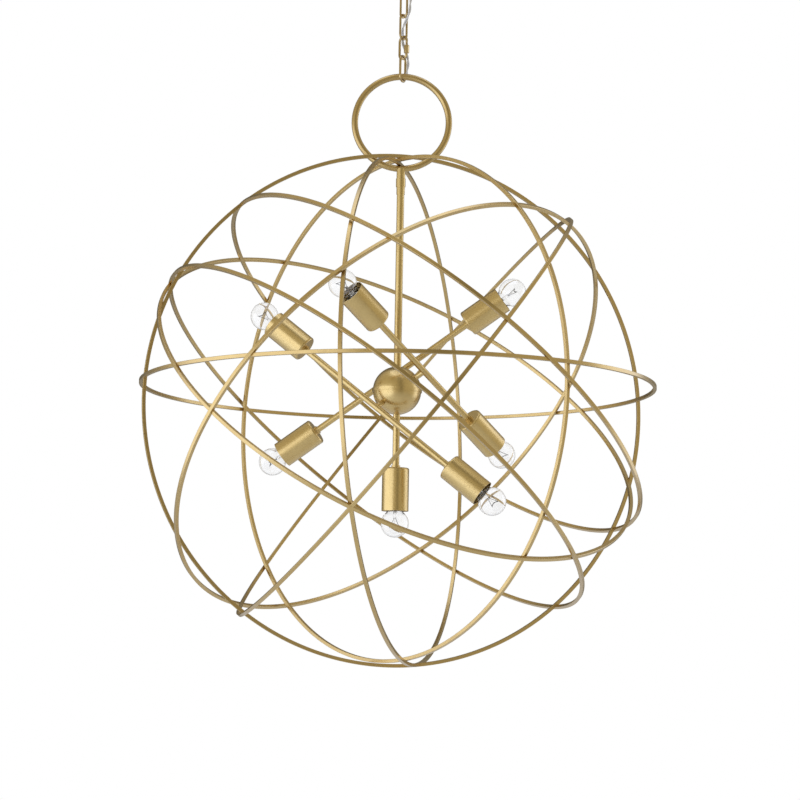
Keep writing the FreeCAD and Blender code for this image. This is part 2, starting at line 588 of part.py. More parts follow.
# The seven equal cups share one node, as their ferrules and lampholders do.
cups, ferrules, holders = [], [], []
for lamp, (where, carrier) in LAMPS.items():
    spot = f"lamp_{lamp}"
    place(spot, where)
    cup = turned(f"cup_{lamp}", [
        (f"{carrier} / 2 + Sizes.fit_gap", "0"),
        ("Sizes.cup_diameter / 2", "0"),
        ("Sizes.cup_diameter / 2", "Sizes.cup_length"),
        ("Sizes.cup_diameter / 2 - Sizes.cup_wall", "Sizes.cup_length"),
        ("Sizes.cup_diameter / 2 - Sizes.cup_wall", "Sizes.cup_wall"),
        (f"{carrier} / 2 + Sizes.fit_gap", "Sizes.cup_wall"),
    ], f"Places.{spot}")
    round_edge(cup, "Sizes.cup_diameter / 2 - Sizes.cup_wall", "Sizes.cup_wall",
               "Sizes.cup_rounding - Sizes.cup_wall")
    round_edge(cup, "Sizes.cup_diameter / 2", "0 * Sizes.cup_length", "Sizes.cup_rounding")
    cups.append(pieces.pop(f"cup_{lamp}"))

    ferrule_bar = solid("Part::Cylinder", f"ferrule_{lamp}_bar", Radius="Sizes.ferrule_diameter / 2",
                        Height="Sizes.ferrule_height")
    ferrule_bore = solid("Part::Cylinder", f"ferrule_{lamp}_bore",
                         Radius=f"{carrier} / 2 + Sizes.thread_gap", Height="Sizes.ferrule_height")
    ferrules.append(placed(less(f"ferrule_{lamp}", ferrule_bar, ferrule_bore),
                           f"Places.{spot} * {at('-Sizes.ferrule_height')}"))

    well = placed(solid("Part::Cylinder", f"holder_{lamp}_well",
                        Radius="Sizes.cap_diameter / 2 + Sizes.fit_gap", Height="Sizes.holder_length"),
                  at("Places.bulb_base - Places.holder_base - Sizes.fit_gap"))
    holder_bar = solid("Part::Cylinder", f"holder_{lamp}_bar", Radius="Sizes.holder_diameter / 2",
                       Height="Sizes.holder_length")
    holders.append(placed(less(f"holder_{lamp}", holder_bar, well),
                          f"Places.{spot} * {at('Places.holder_base')}"))

    # Metal cap with a contact button, and the glass globe whose neck stands in it.
    turned(f"bulb_cap_{lamp}", [
        ("0", "0"),
        ("Sizes.cap_diameter / 5", "0"),
        ("Sizes.cap_diameter / 2.6", "Sizes.cap_length / 8"),
        ("Sizes.cap_diameter / 2", "Sizes.cap_length / 4"),
        ("Sizes.cap_diameter / 2", "Sizes.cap_length"),
        ("Sizes.cap_diameter / 2 - Sizes.cap_wall", "Sizes.cap_length"),
        ("Sizes.cap_diameter / 2 - Sizes.cap_wall", "Sizes.cap_length - Sizes.neck_inset"),
        ("0", "Sizes.cap_length - Sizes.neck_inset"),
    ], f"Places.{spot} * {at('Places.bulb_base')}")

    parts = []
    for side, neck_r, globe_r in (("outside", "neck_radius", "globe_radius"),
                                  ("inside", "neck_inner", "globe_inner")):
        tube = solid("Part::Cylinder", f"glass_{lamp}_{side}_neck", Radius=f"Places.{neck_r}",
                     Height="Sizes.globe_ahead + Sizes.cap_setback + Sizes.neck_inset")
        globe = placed(solid("Part::Sphere", f"glass_{lamp}_{side}_globe", Radius=f"Places.{globe_r}"),
                       at("Sizes.globe_ahead + Sizes.cap_setback + Sizes.neck_inset"))
        parts.append(joined(f"glass_{lamp}_{side}", [tube, globe]))
    keep(f"bulb_glass_{lamp}", less(f"glass_{lamp}_shell", *parts),
         f"Places.{spot} * {at('Places.neck_height_in_cup')}")
keep("cups", group("cup_set", cups))
keep("cup_ferrules", group("ferrule_set", ferrules))
keep("lampholders", group("holder_set", holders))

# Hoops.
for hoop in HOOPS:
    wire = solid("Part::Torus", hoop + "_wire", Radius1=f"Sizes.{hoop}_diameter / 2",
                 Radius2="Sizes.hoop_wire / 2")
    middle = f"vector(Sizes.{hoop}_x; Sizes.{hoop}_y; Places.sphere_centre + Sizes.{hoop}_z)"
    keep(hoop, wire, f"placement({middle}; rotation(Sizes.{hoop}_turn; Sizes.{hoop}_tilt; 0))")

# Supply cord.
# It leaves the loop's base at the side, weaves down through the links and enters the ring's top.
CORD_DIAMETER = 4.6
CORD_POINTS = [
    (0.0, 0.0, -35.5), (10.5, -9.5, -43.5), (12.8, -9.8, -60.0), (10.5, -8.5, -78.0),
    (9.4, -8.1, -96.0), (3.8, -4.8, -109.0), (-1.5, -1.5, -120.0), (-1.6, 7.6, -131.0),
    (-0.4, 9.6, -144.0), (4.4, 8.6, -158.0), (9.0, 4.0, -171.0), (8.0, 0.4, -186.0),
    (5.6, 0.0, -201.0),
]


def cord_path(points):
    """Straight runs joined by tangent arcs, each as large as its two runs allow."""
    spots = [Vector(*p) for p in points]
    edges, start, radii = [], spots[0], []
    for i in range(1, len(spots) - 1):
        before, corner, after = spots[i - 1], spots[i], spots[i + 1]
        back, ahead = before - corner, after - corner
        turn = math.pi - back.getAngle(ahead)
        reach = 0.45 * min(back.Length, ahead.Length)
        radii.append(reach / math.tan(turn / 2))
        first = corner + back.normalize() * reach
        last = corner + ahead.normalize() * reach
        bisector = (first + last) * 0.5 - corner
        to_centre = math.hypot(radii[-1], reach)
        middle = corner + bisector.normalize() * (to_centre - radii[-1])
        edges.append(Part.LineSegment(start, first).toShape())
        edges.append(Part.Arc(first, middle, last).toShape())
        start = last
    edges.append(Part.LineSegment(start, spots[-1]).toShape())
    return Part.Wire(edges), radii


def tube(path, diameter):
    first = path.Edges[0]
    section = Part.Wire(Part.makeCircle(diameter / 2, first.valueAt(first.FirstParameter),
                                        first.tangentAt(first.FirstParameter)))
    return path.makePipeShell([section], True, False)


cord_line, cord_radii = cord_path(CORD_POINTS)
cord_shape = tube(cord_line, CORD_DIAMETER)
cord_volume = math.pi * CORD_DIAMETER ** 2 / 4 * cord_line.Length
print("cord radii", [round(r, 1) for r in cord_radii], "length", round(cord_line.Length, 1),
      "volume ratio", round(cord_shape.Volume / cord_volume, 4))
cord = doc.addObject("Part::Feature", "supply_cord")
cord.Shape = cord_shape
keep("supply_cord", cord)

# Check and write.
doc.recompute()
for obj in doc.Objects:
    if "Invalid" in obj.State or "Error" in obj.State:
        raise RuntimeError(f"{obj.Label}: {obj.State}")
os.makedirs("parts", exist_ok=True)
for label, obj in pieces.items():
    shape = obj.Shape
    if shape.isNull() or not shape.isValid():
        raise RuntimeError(f"{label}: bad shape")
    if not shape.Solids:
        raise RuntimeError(f"{label}: no solid")
    shape.exportStep(os.path.join("parts", label + ".step"))
print(len(pieces), "pieces; sphere centre", round(places.sphere_centre, 2),
      "ball centre", round(places.ball_centre, 2))
for name in ("loop_low", "link_1_high", "link_1_low", "link_2_high", "link_2_low", "quick_high", "quick_low",
             "hanger_high", "hanger_low", "ring_high", "ring_centre", "ring_low"):
    print(name, round(getattr(places, name), 2))
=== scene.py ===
# %% [markdown]
# # An orb chandelier of nine gold hoops
#
# A ball of nine thin hoops hangs on a short chain. Inside it three arms cross at a
# small ball, and seven clear globe bulbs sit in plain gold cups on the ends of the
# arms and of the stem. The CAD model is already right in size and place, so this
# lesson dresses it: the plain turned parts keep their CAD shape and get a finish,
# and the hoops, links, bulbs and cord are made again with the detail that shows.

# %% Load the model and measure it
import math

import bmesh
import bpy
from mathutils import Matrix, Vector


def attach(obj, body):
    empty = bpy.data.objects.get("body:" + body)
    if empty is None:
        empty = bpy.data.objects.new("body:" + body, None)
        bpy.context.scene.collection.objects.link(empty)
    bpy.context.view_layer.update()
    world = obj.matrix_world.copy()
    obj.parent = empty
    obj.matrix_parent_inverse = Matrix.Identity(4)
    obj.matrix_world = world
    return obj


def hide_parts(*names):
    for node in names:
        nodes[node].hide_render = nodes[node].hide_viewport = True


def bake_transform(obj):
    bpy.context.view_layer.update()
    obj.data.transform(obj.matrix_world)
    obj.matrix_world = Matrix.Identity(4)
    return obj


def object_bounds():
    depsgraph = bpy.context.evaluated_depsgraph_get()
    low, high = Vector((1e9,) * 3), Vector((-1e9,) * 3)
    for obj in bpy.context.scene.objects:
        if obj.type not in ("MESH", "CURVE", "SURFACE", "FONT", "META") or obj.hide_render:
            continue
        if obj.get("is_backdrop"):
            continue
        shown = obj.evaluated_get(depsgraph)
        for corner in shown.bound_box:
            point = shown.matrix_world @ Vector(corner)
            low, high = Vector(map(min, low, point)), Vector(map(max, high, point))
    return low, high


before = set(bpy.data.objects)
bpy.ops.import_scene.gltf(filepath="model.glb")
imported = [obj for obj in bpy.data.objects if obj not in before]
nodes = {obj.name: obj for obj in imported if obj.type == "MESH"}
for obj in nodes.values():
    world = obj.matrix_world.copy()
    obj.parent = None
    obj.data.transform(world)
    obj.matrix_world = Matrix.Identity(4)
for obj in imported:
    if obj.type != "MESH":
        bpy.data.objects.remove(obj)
model_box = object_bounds()
print("CAD box:", [tuple(round(v, 4) for v in corner) for corner in model_box])

# %% [markdown]
# ## Units
#
# The drawing of the chandelier is in millimetres and Blender works in metres. One
# small helper turns a point of the drawing into a Blender vector, so that every
# number below can be read against the drawing.


# %% From millimetres to metres
MM = 0.001


def mm(x, y, z):
    """A point of the drawing, in metres."""
    return Vector((x * MM, y * MM, z * MM))


print("one millimetre is", MM, "m")

# %% [markdown]
# ## The camera
#
# The picture was taken from in front, a little below the middle of the orb, looking
# slightly up, with the camera turned by one degree. Its place comes from the known
# sizes of the orb and the arms, so the render can be laid over the photograph.

# %% Stand the camera in front of the orb
LENS_MM = 91.76
SENSOR_MM = 36.0
CLIP_RANGE = (0.05, 60.0)
CAMERA_PLACE = (11.5, -3241.9, -1107.6)
CAMERA_FORWARD = (-0.00201, 0.99333, 0.11532)
CAMERA_RIGHT = (0.99985, 0.0, 0.01745)

camera_data = bpy.data.cameras.new("camera")
camera_data.lens = LENS_MM
camera_data.sensor_width = SENSOR_MM
camera_data.clip_start, camera_data.clip_end = CLIP_RANGE
camera = bpy.data.objects.new("camera", camera_data)
bpy.context.scene.collection.objects.link(camera)
forward = Vector(CAMERA_FORWARD).normalized()
right = Vector(CAMERA_RIGHT).normalized()
right = (right - forward * right.dot(forward)).normalized()
upward = right.cross(forward)
turn = Matrix((right, upward, -forward)).transposed()
camera.matrix_world = Matrix.Translation(mm(*CAMERA_PLACE)) @ turn.to_4x4()
bpy.context.scene.camera = camera
print("camera at", [round(v, 3) for v in camera.matrix_world.translation])

# %% [markdown]
# ## The route of the cord
#
# A thin clear cord comes out of the ceiling fitting, winds down through the chain and
# goes into the top of the hanging ring. It is one smooth line, a NURBS curve that the
# points of the drawing pull into its bends. The curve without thickness turns into a
# row of points, and the two twisted wires are later laid round that row.

# %% Draw the route as one smooth curve
POINTS_PER_BEND = 14
CORD_ROUTE = (
    (0.0, 0.0, -35.5),
    (10.5, -9.5, -43.5),
    (12.8, -9.8, -60.0),
    (10.5, -8.5, -78.0),
    (9.4, -8.1, -96.0),
    (3.8, -4.8, -109.0),
    (-1.5, -1.5, -120.0),
    (-1.6, 7.6, -131.0),
    (-0.4, 9.6, -144.0),
    (4.4, 8.6, -158.0),
    (9.0, 4.0, -171.0),
    (8.0, 0.4, -186.0),
    (5.6, 0.0, -201.0),
)

route_curve = bpy.data.curves.new("cord_route", "CURVE")
route_curve.dimensions = "3D"
route_curve.resolution_u = POINTS_PER_BEND
route_line = route_curve.splines.new("NURBS")
route_line.points.add(len(CORD_ROUTE) - 1)
for knot, place in zip(route_line.points, CORD_ROUTE):
    knot.co = (*mm(*place), 1.0)
route_line.order_u = 3
route_line.use_endpoint_u = True
route = bpy.data.objects.new("cord_route", route_curve)
bpy.context.scene.collection.objects.link(route)
bpy.context.view_layer.update()
graph = bpy.context.evaluated_depsgraph_get()
route_mesh = bpy.data.meshes.new_from_object(route.evaluated_get(graph))
route_points = [v.co.copy() for v in route_mesh.vertices]
bpy.data.objects.remove(route)
route_length = sum((b - a).length for a, b in zip(route_points, route_points[1:]))
print("cord route:", len(route_points), "points,", round(route_length / MM, 1), "mm")

# %% [markdown]
# ## Effects that several finishes share
#
# Satin gold, nickel and porcelain all have the same two things on them: soft clouds
# where the film is a little thinner or thicker, and a very fine grain from blasting
# or plating. What hands have touched also has faint dull patches. All of it is noise
# read from the object's own coordinates, so it stays put when a part swings. The film
# and the patches are node groups, and each finish sets its own amounts.


# %% Helpers for node trees
def add(tree, kind, **settings):
    """Adds a node and sets its plain settings."""
    node = tree.nodes.new(kind)
    for key, value in settings.items():
        setattr(node, key, value)
    return node


def feed(tree, node, values):
    """Gives inputs of a node, by name or number, a link from a socket or a plain value."""
    for label, value in values.items():
        if isinstance(value, bpy.types.NodeSocket):
            tree.links.new(value, node.inputs[label])
        else:
            node.inputs[label].default_value = value


def group_of(kind, name, takes, gives):
    """A node group with named sockets: the group, what it is given and its outlet."""
    group = bpy.data.node_groups.new(name, kind)
    for label, socket_kind, value in takes:
        socket = group.interface.new_socket(label, in_out="INPUT", socket_type=socket_kind)
        if value is not None:
            socket.default_value = value
    for label, socket_kind in gives:
        group.interface.new_socket(label, in_out="OUTPUT", socket_type=socket_kind)
    return group, add(group, "NodeGroupInput").outputs, add(group, "NodeGroupOutput")


print("tree helpers ready")


# %% Helpers for noise, sums, ranges and mixes
def noise(tree, where, scale, detail, rough=0.5, distortion=0.0):
    """Noise at the coordinates where."""
    node = add(tree, "ShaderNodeTexNoise")
    feed(tree, node, {"Vector": where, "Scale": scale, "Detail": detail})
    feed(tree, node, {"Roughness": rough, "Distortion": distortion})
    return node.outputs["Fac"]


def maths(tree, how, first, second=0.0):
    """The result of a maths node. Its inputs are sockets or numbers."""
    node = add(tree, "ShaderNodeMath", operation=how)
    feed(tree, node, {0: first, 1: second})
    return node.outputs[0]


def ranged(tree, value, ends, curve="SMOOTHSTEP"):
    """Maps value to another range. ends sets the limits that aren't 0 or 1."""
    node = add(tree, "ShaderNodeMapRange", interpolation_type=curve)
    feed(tree, node, {"Value": value, **ends})
    return node.outputs["Result"]


def mixed(tree, share, first, second):
    """Two colours mixed. share is how much of the second one shows."""
    node = add(tree, "ShaderNodeMix", data_type="RGBA")
    feed(tree, node, {"Factor": share, 6: first, 7: second})
    return node.outputs[2]


print("value helpers ready")


# %% Group: a satin film with clouds and grain
GRAIN_SHARE = 0.08
CLOUD_DETAIL = 4.0
GRAIN_DETAIL = 2.0
FILM_RANGE = {"From Min": 0.35, "From Max": 0.85}


def build_satin_film():
    """Goes from a thin to a thick tone, and from smooth to rough, with the clouds."""
    takes = (
        ("Vector", "NodeSocketVector", None),
        ("Thin Colour", "NodeSocketColor", (0.5, 0.35, 0.12, 1)),
        ("Thick Colour", "NodeSocketColor", (0.4, 0.26, 0.08, 1)),
        ("Cloud Scale", "NodeSocketFloat", 30.0),
        ("Grain Scale", "NodeSocketFloat", 1800.0),
        ("Smoothest", "NodeSocketFloat", 0.28),
        ("Roughest", "NodeSocketFloat", 0.4),
    )
    gives = (
        ("Colour", "NodeSocketColor"),
        ("Roughness", "NodeSocketFloat"),
        ("Height", "NodeSocketFloat"),
    )
    group, given, outlet = group_of("ShaderNodeTree", "Satin Film", takes, gives)
    clouds = noise(group, given["Vector"], given["Cloud Scale"], CLOUD_DETAIL)
    grain = noise(group, given["Vector"], given["Grain Scale"], GRAIN_DETAIL)
    both = maths(group, "ADD", maths(group, "MULTIPLY", grain, GRAIN_SHARE), clouds)
    thickness = ranged(group, both, FILM_RANGE, "LINEAR")
    tint = mixed(group, thickness, given["Thin Colour"], given["Thick Colour"])
    limits = {"To Min": given["Smoothest"], "To Max": given["Roughest"]}
    rough = ranged(group, thickness, limits, "LINEAR")
    feed(group, outlet, {"Colour": tint, "Roughness": rough, "Height": grain})
    return group


satin_film = build_satin_film()
print("group:", satin_film.name, "with", len(satin_film.nodes), "nodes")


# %% Group: faint marks left by hands
MARK_DETAIL = 5.0
MARK_ROUGHNESS = 0.6
MARK_DISTORTION = 0.8
MARK_FULL = 0.8


def build_hand_marks():
    """A mask of soft patches. Least is the value of the noise where a patch starts."""
    takes = (
        ("Vector", "NodeSocketVector", None),
        ("Patch Scale", "NodeSocketFloat", 25.0),
        ("Least", "NodeSocketFloat", 0.55),
    )
    gives = (("Mask", "NodeSocketFloat"),)
    group, given, outlet = group_of("ShaderNodeTree", "Hand Marks", takes, gives)
    patch = noise(
        group, given["Vector"], given["Patch Scale"], MARK_DETAIL, MARK_ROUGHNESS, MARK_DISTORTION
    )
    mask = ranged(group, patch, {"From Min": given["Least"], "From Max": MARK_FULL})
    feed(group, outlet, {"Mask": mask})
    return group


hand_marks = build_hand_marks()
print("group:", hand_marks.name, "with", len(hand_marks.nodes), "nodes")

# %% [markdown]
# ## One function for every opaque finish
#
# All opaque parts wear the same film over a plain surface, so one function builds
# their finish. A finish differs from the next in its two tones, its gloss, the size
# of its clouds and grain, how much of a metal it is, how deep the grain goes, the
# lacquer over it and how much hands have dulled it.


# %% Build a finish
def new_finish(name):
    """A new material: the material, its tree, its surface and its own coordinates."""
    material = bpy.data.materials.new(name)
    material.use_nodes = True
    tree = material.node_tree
    place = add(tree, "ShaderNodeTexCoord").outputs["Object"]
    return material, tree, tree.nodes["Principled BSDF"], place


def bumped(tree, height, strength, depth):
    """The normal of a bump, with its depth in millimetres."""
    node = add(tree, "ShaderNodeBump")
    feed(tree, node, {"Height": height, "Strength": strength, "Distance": depth * MM})
    return node.outputs["Normal"]


def dulled(tree, place, most):
    """The roughness that hands have added, at most this much."""
    marks = add(tree, "ShaderNodeGroup", node_tree=hand_marks)
    feed(tree, marks, {"Vector": place})
    return maths(tree, "MULTIPLY", marks.outputs["Mask"], most)


def filmed(name, tones, gloss, scales, metal=1.0, bump=(0.5, 0.01), coat=(0.0, 0.03), touched=0):
    """A finish under the satin film.

    tones: its thin and its thick colour. gloss: its smoothest and roughest value.
    scales: those of its clouds and its grain. bump: strength, and depth in millimetres.
    coat: weight and roughness. touched: the most that hands have dulled it.
    """
    material, tree, surface, place = new_finish(name)
    film = add(tree, "ShaderNodeGroup", node_tree=satin_film)
    feed(tree, film, {"Vector": place, "Cloud Scale": scales[0], "Grain Scale": scales[1]})
    feed(tree, film, {"Thin Colour": (*tones[0], 1), "Thick Colour": (*tones[1], 1)})
    feed(tree, film, {"Smoothest": gloss[0], "Roughest": gloss[1]})
    rough = film.outputs["Roughness"]
    if touched:
        rough = maths(tree, "ADD", rough, dulled(tree, place, touched))
    normal = bumped(tree, film.outputs["Height"], *bump)
    feed(tree, surface, {"Metallic": metal, "Coat Weight": coat[0], "Coat Roughness": coat[1]})
    feed(tree, surface, {"Base Color": film.outputs["Colour"], "Roughness": rough})
    feed(tree, surface, {"Normal": normal})
    return material


print("finish helpers ready")

# %% [markdown]
# ## The gold finishes
#
# All the metal that shows has one satin gold lacquer, a metal with a broad soft
# highlight under a soft coat. The bar of the hoops is a little smoother and darker
# than the cups, and the chain is the smoothest, because its links rub. So each kind
# of part sets its two tones, its gloss and the size of its clouds.

# %% Mix the golds
GOLD_GRAIN = 2600.0
GOLD_BUMP = (0.12, 0.004)
LACQUER = (0.8, 0.25)
GOLD_TOUCHED = 0.05


def satin_gold(name, tones, gloss, clouds):
    """A gold lacquer on metal."""
    scales = (clouds, GOLD_GRAIN)
    return filmed(name, tones, gloss, scales, 1.0, GOLD_BUMP, LACQUER, GOLD_TOUCHED)


cup_gold = satin_gold(
    "satin_gold_cups", ((0.62, 0.45, 0.165), (0.57, 0.405, 0.145)), (0.3, 0.36), 30.0
)
wire_gold = satin_gold(
    "satin_gold_wire", ((0.55, 0.39, 0.14), (0.48, 0.33, 0.115)), (0.27, 0.34), 18.0
)
ring_gold = satin_gold(
    "satin_gold_ring", ((0.5, 0.35, 0.12), (0.43, 0.29, 0.095)), (0.28, 0.36), 22.0
)
chain_gold = satin_gold(
    "rubbed_gold_chain", ((0.52, 0.375, 0.15), (0.34, 0.235, 0.085)), (0.15, 0.25), 60.0
)
print("gold finishes:", cup_gold.name, wire_gold.name, ring_gold.name, chain_gold.name)

# %% [markdown]
# ## Glass, nickel, tungsten, porcelain and steel
#
# Bulb glass is clear, so it needs little more than its refraction: a trace of
# waviness, and the haze of fingers. The screw cap is pressed nickel with a foot of
# black glass and solder, the filament is dull tungsten, the lampholder inside each
# cup is white porcelain with a glaze, and the hidden bar on the ceiling is
# zinc-plated steel with the crystal patches that zinc has.

# %% Bulb glass
GLASS_TONE = (0.985, 0.985, 0.985, 1)
GLASS_IOR = 1.5
GLASS_HAZE = 0.03
WAVE_SCALE = 35.0
WAVE_BUMP = (0.3, 0.3)


def clear_glass(name):
    """Clear glass whose surface waves a little."""
    material, tree, surface, place = new_finish(name)
    wave = noise(tree, place, WAVE_SCALE, 1.0)
    feed(tree, surface, {"Base Color": GLASS_TONE, "Transmission Weight": 1.0, "IOR": GLASS_IOR})
    feed(tree, surface, {"Roughness": dulled(tree, place, GLASS_HAZE)})
    feed(tree, surface, {"Normal": bumped(tree, wave, *WAVE_BUMP)})
    return material


bulb_glass = clear_glass("clear_bulb_glass")
print("glass:", bulb_glass.name)

# %% Other metals and glazes
nickel = filmed(
    "pressed_nickel", ((0.62, 0.6, 0.56), (0.45, 0.43, 0.4)), (0.18, 0.3), (60.0, 1500.0)
)
tungsten = filmed(
    "dull_tungsten", ((0.2, 0.19, 0.18), (0.12, 0.12, 0.12)), (0.4, 0.5), (200.0, 3000.0)
)
solder = filmed(
    "solder", ((0.5, 0.5, 0.5), (0.36, 0.36, 0.36)), (0.35, 0.5), (200.0, 1200.0), bump=(0.5, 0.05)
)
black_glass = filmed(
    "black_glass",
    ((0.02, 0.02, 0.02), (0.01, 0.01, 0.01)),
    (0.08, 0.14),
    (90.0, 900.0),
    metal=0.0,
)
porcelain = filmed(
    "glazed_porcelain",
    ((0.86, 0.84, 0.79), (0.8, 0.77, 0.7)),
    (0.12, 0.22),
    (45.0, 700.0),
    metal=0.0,
    bump=(0.5, 0.03),
)
zinc = filmed(
    "zinc_plated_steel",
    ((0.6, 0.6, 0.6), (0.4, 0.41, 0.43)),
    (0.3, 0.5),
    (140.0, 900.0),
    bump=(0.5, 0.03),
)
print("other finishes:", nickel.name, tungsten.name, porcelain.name, zinc.name)

# %% [markdown]
# ## Growing parts with Geometry Nodes
#
# Hoops and links follow one rule each: a section swept along a closed line. Geometry
# Nodes hold that rule with named sizes. A tree ends by turning and moving the piece
# to its place. The helper below sets the sizes on a blank object, turns the result
# into a plain mesh and takes the modifier off again, so that only an ordinary mesh
# is left. Edges that turn by more than 20 degrees stay sharp, which keeps the flats
# of a square bar flat.

# %% Helpers for Geometry Nodes
BAR_EDGE = math.radians(20)
PLACED = (
    ("Turned", "NodeSocketVector", (0, 0, 0)),
    ("Moved", "NodeSocketVector", (0, 0, 0)),
    ("Finish", "NodeSocketMaterial", None),
)


def sized_tree(name, sizes):
    """A geometry tree that is given named sizes, a place and a finish."""
    gives = (("Geometry", "NodeSocketGeometry"),)
    return group_of("GeometryNodeTree", name, (*sizes, *PLACED), gives)


def swept(tree, line, section):
    """The mesh of a section swept along a line."""
    sweep = add(tree, "GeometryNodeCurveToMesh")
    feed(tree, sweep, {"Curve": line, "Profile Curve": section})
    return sweep.outputs["Mesh"]


def close_tree(tree, given, outlet, shape):
    """Ends a tree: the shape in its place, smooth and with its material."""
    put = add(tree, "GeometryNodeTransform")
    feed(tree, put, {"Geometry": shape, "Rotation": given["Turned"], "Translation": given["Moved"]})
    smooth = add(tree, "GeometryNodeSetShadeSmooth")
    feed(tree, smooth, {"Geometry": put.outputs["Geometry"]})
    paint = add(tree, "GeometryNodeSetMaterial")
    feed(tree, paint, {"Geometry": smooth.outputs["Geometry"], "Material": given["Finish"]})
    feed(tree, outlet, {"Geometry": paint.outputs["Geometry"]})
    return tree


def grow(tree, name, values):
    """Makes the piece name from a tree with these values, as a plain mesh."""
    piece = bpy.data.objects.new(name, bpy.data.meshes.new(name))
    bpy.context.scene.collection.objects.link(piece)
    maker = piece.modifiers.new("maker", "NODES")
    maker.node_group = tree
    for item in tree.interface.items_tree:
        if item.in_out == "INPUT" and item.name in values:
            maker[item.identifier] = values[item.name]
    bpy.context.view_layer.update()
    now = bpy.context.evaluated_depsgraph_get()
    mesh = bpy.data.meshes.new_from_object(piece.evaluated_get(now))
    mesh.name = name
    mesh.set_sharp_from_angle(angle=BAR_EDGE)
    piece.modifiers.remove(maker)
    piece.data = mesh
    return piece


print("growing helpers ready")

# %% A square bar bent into a closed ring
ROUNDING_STEPS = 2


def build_ring_tree():
    """A square bar with rounded edges on a circle."""
    sizes = (
        ("Diameter", "NodeSocketFloat", 0.8),
        ("Bar", "NodeSocketFloat", 0.006),
        ("Rounding", "NodeSocketFloat", 0.0006),
        ("Steps", "NodeSocketInt", 256),
    )
    tree, given, outlet = sized_tree("Bent Ring", sizes)
    line = add(tree, "GeometryNodeCurvePrimitiveCircle")
    radius = maths(tree, "MULTIPLY", given["Diameter"], 0.5)
    feed(tree, line, {"Radius": radius, "Resolution": given["Steps"]})
    square = add(tree, "GeometryNodeCurvePrimitiveQuadrilateral")
    feed(tree, square, {"Width": given["Bar"], "Height": given["Bar"]})
    section = add(tree, "GeometryNodeFilletCurve", mode="POLY")
    feed(tree, section, {"Curve": square.outputs["Curve"], "Radius": given["Rounding"]})
    feed(tree, section, {"Count": ROUNDING_STEPS})
    bar = swept(tree, line.outputs["Curve"], section.outputs["Curve"])
    return close_tree(tree, given, outlet, bar)


ring_tree = build_ring_tree()
print("tree:", ring_tree.name, "with", len(ring_tree.nodes), "nodes")

# %% [markdown]
# ## The nine hoops
#
# The real orb is nine hoops of square gold bar, each bent from one length and tacked
# to its neighbours where they cross. Their flats show in the photograph as one pale
# and one dark stripe. Every hoop is a true circle, so four facts give it: how far it
# tilts, which way it is turned, how wide it is, and how far its middle lies from the
# middle of the orb. A table of those facts drives one Geometry Nodes tree.

# %% Bend the nine hoops
ORB_CENTRE = -742.3
HOOP_BAR = 5.7
HOOP_ROUNDING = 0.55
HOOP_STEPS = 360
# Each row: tilt, heading, diameter, and how far the middle lies from the orb's middle.
HOOPS = {
    "hoop_level": (0.6, 118.0, 818.5, 1.1, 5.1, 29.9),
    "hoop_broad": (88.7, 105.0, 820.8, 3.5, 10.4, -1.0),
    "hoop_slim": (87.4, -13.7, 806.7, 16.6, 1.2, -6.5),
    "hoop_diagonal": (88.8, -140.3, 807.2, -10.6, -4.6, -0.4),
    "hoop_tilted_upper": (37.9, 19.2, 807.1, 54.0, 22.6, 63.4),
    "hoop_tilted_lower": (38.3, 18.1, 818.7, -39.8, -7.8, -58.9),
    "hoop_leaning_left": (39.7, -52.0, 819.6, 5.5, -6.2, 12.9),
    "hoop_leaning_right": (48.1, 143.1, 819.6, -1.1, 0.3, -14.8),
    "hoop_steep": (51.9, -169.9, 818.4, 10.4, 5.6, -13.1),
}

for hoop, (tilt, heading, across, x, y, z) in HOOPS.items():
    piece = grow(
        ring_tree,
        "wire_" + hoop,
        {
            "Diameter": across * MM,
            "Bar": HOOP_BAR * MM,
            "Rounding": HOOP_ROUNDING * MM,
            "Steps": HOOP_STEPS,
            "Turned": (0.0, math.radians(tilt), math.radians(heading)),
            "Moved": tuple(mm(x, y, ORB_CENTRE + z)),
            "Finish": wire_gold,
        },
    )
    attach(piece, "orb")
    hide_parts(hoop)
print("hoops:", len(HOOPS), "with", len(piece.data.polygons), "faces each")

# %% [markdown]
# ## Links of the chain
#
# A chain link is a length of wire bent into a long oval and closed. Its line is a
# rectangle with fully rounded corners, which Geometry Nodes can fillet. The tree
# bends the oval upright, with the middle of its top wire at the origin, and then
# turns it about the plumb line and lowers it to its place in the chain.

# %% An oval of wire
# A corner of just half the width would leave no straight between two corners.
BEND_SHARE = 0.499
BEND_STEPS = 16
LINK_STEPS = 180
LINK_SIDES = 24


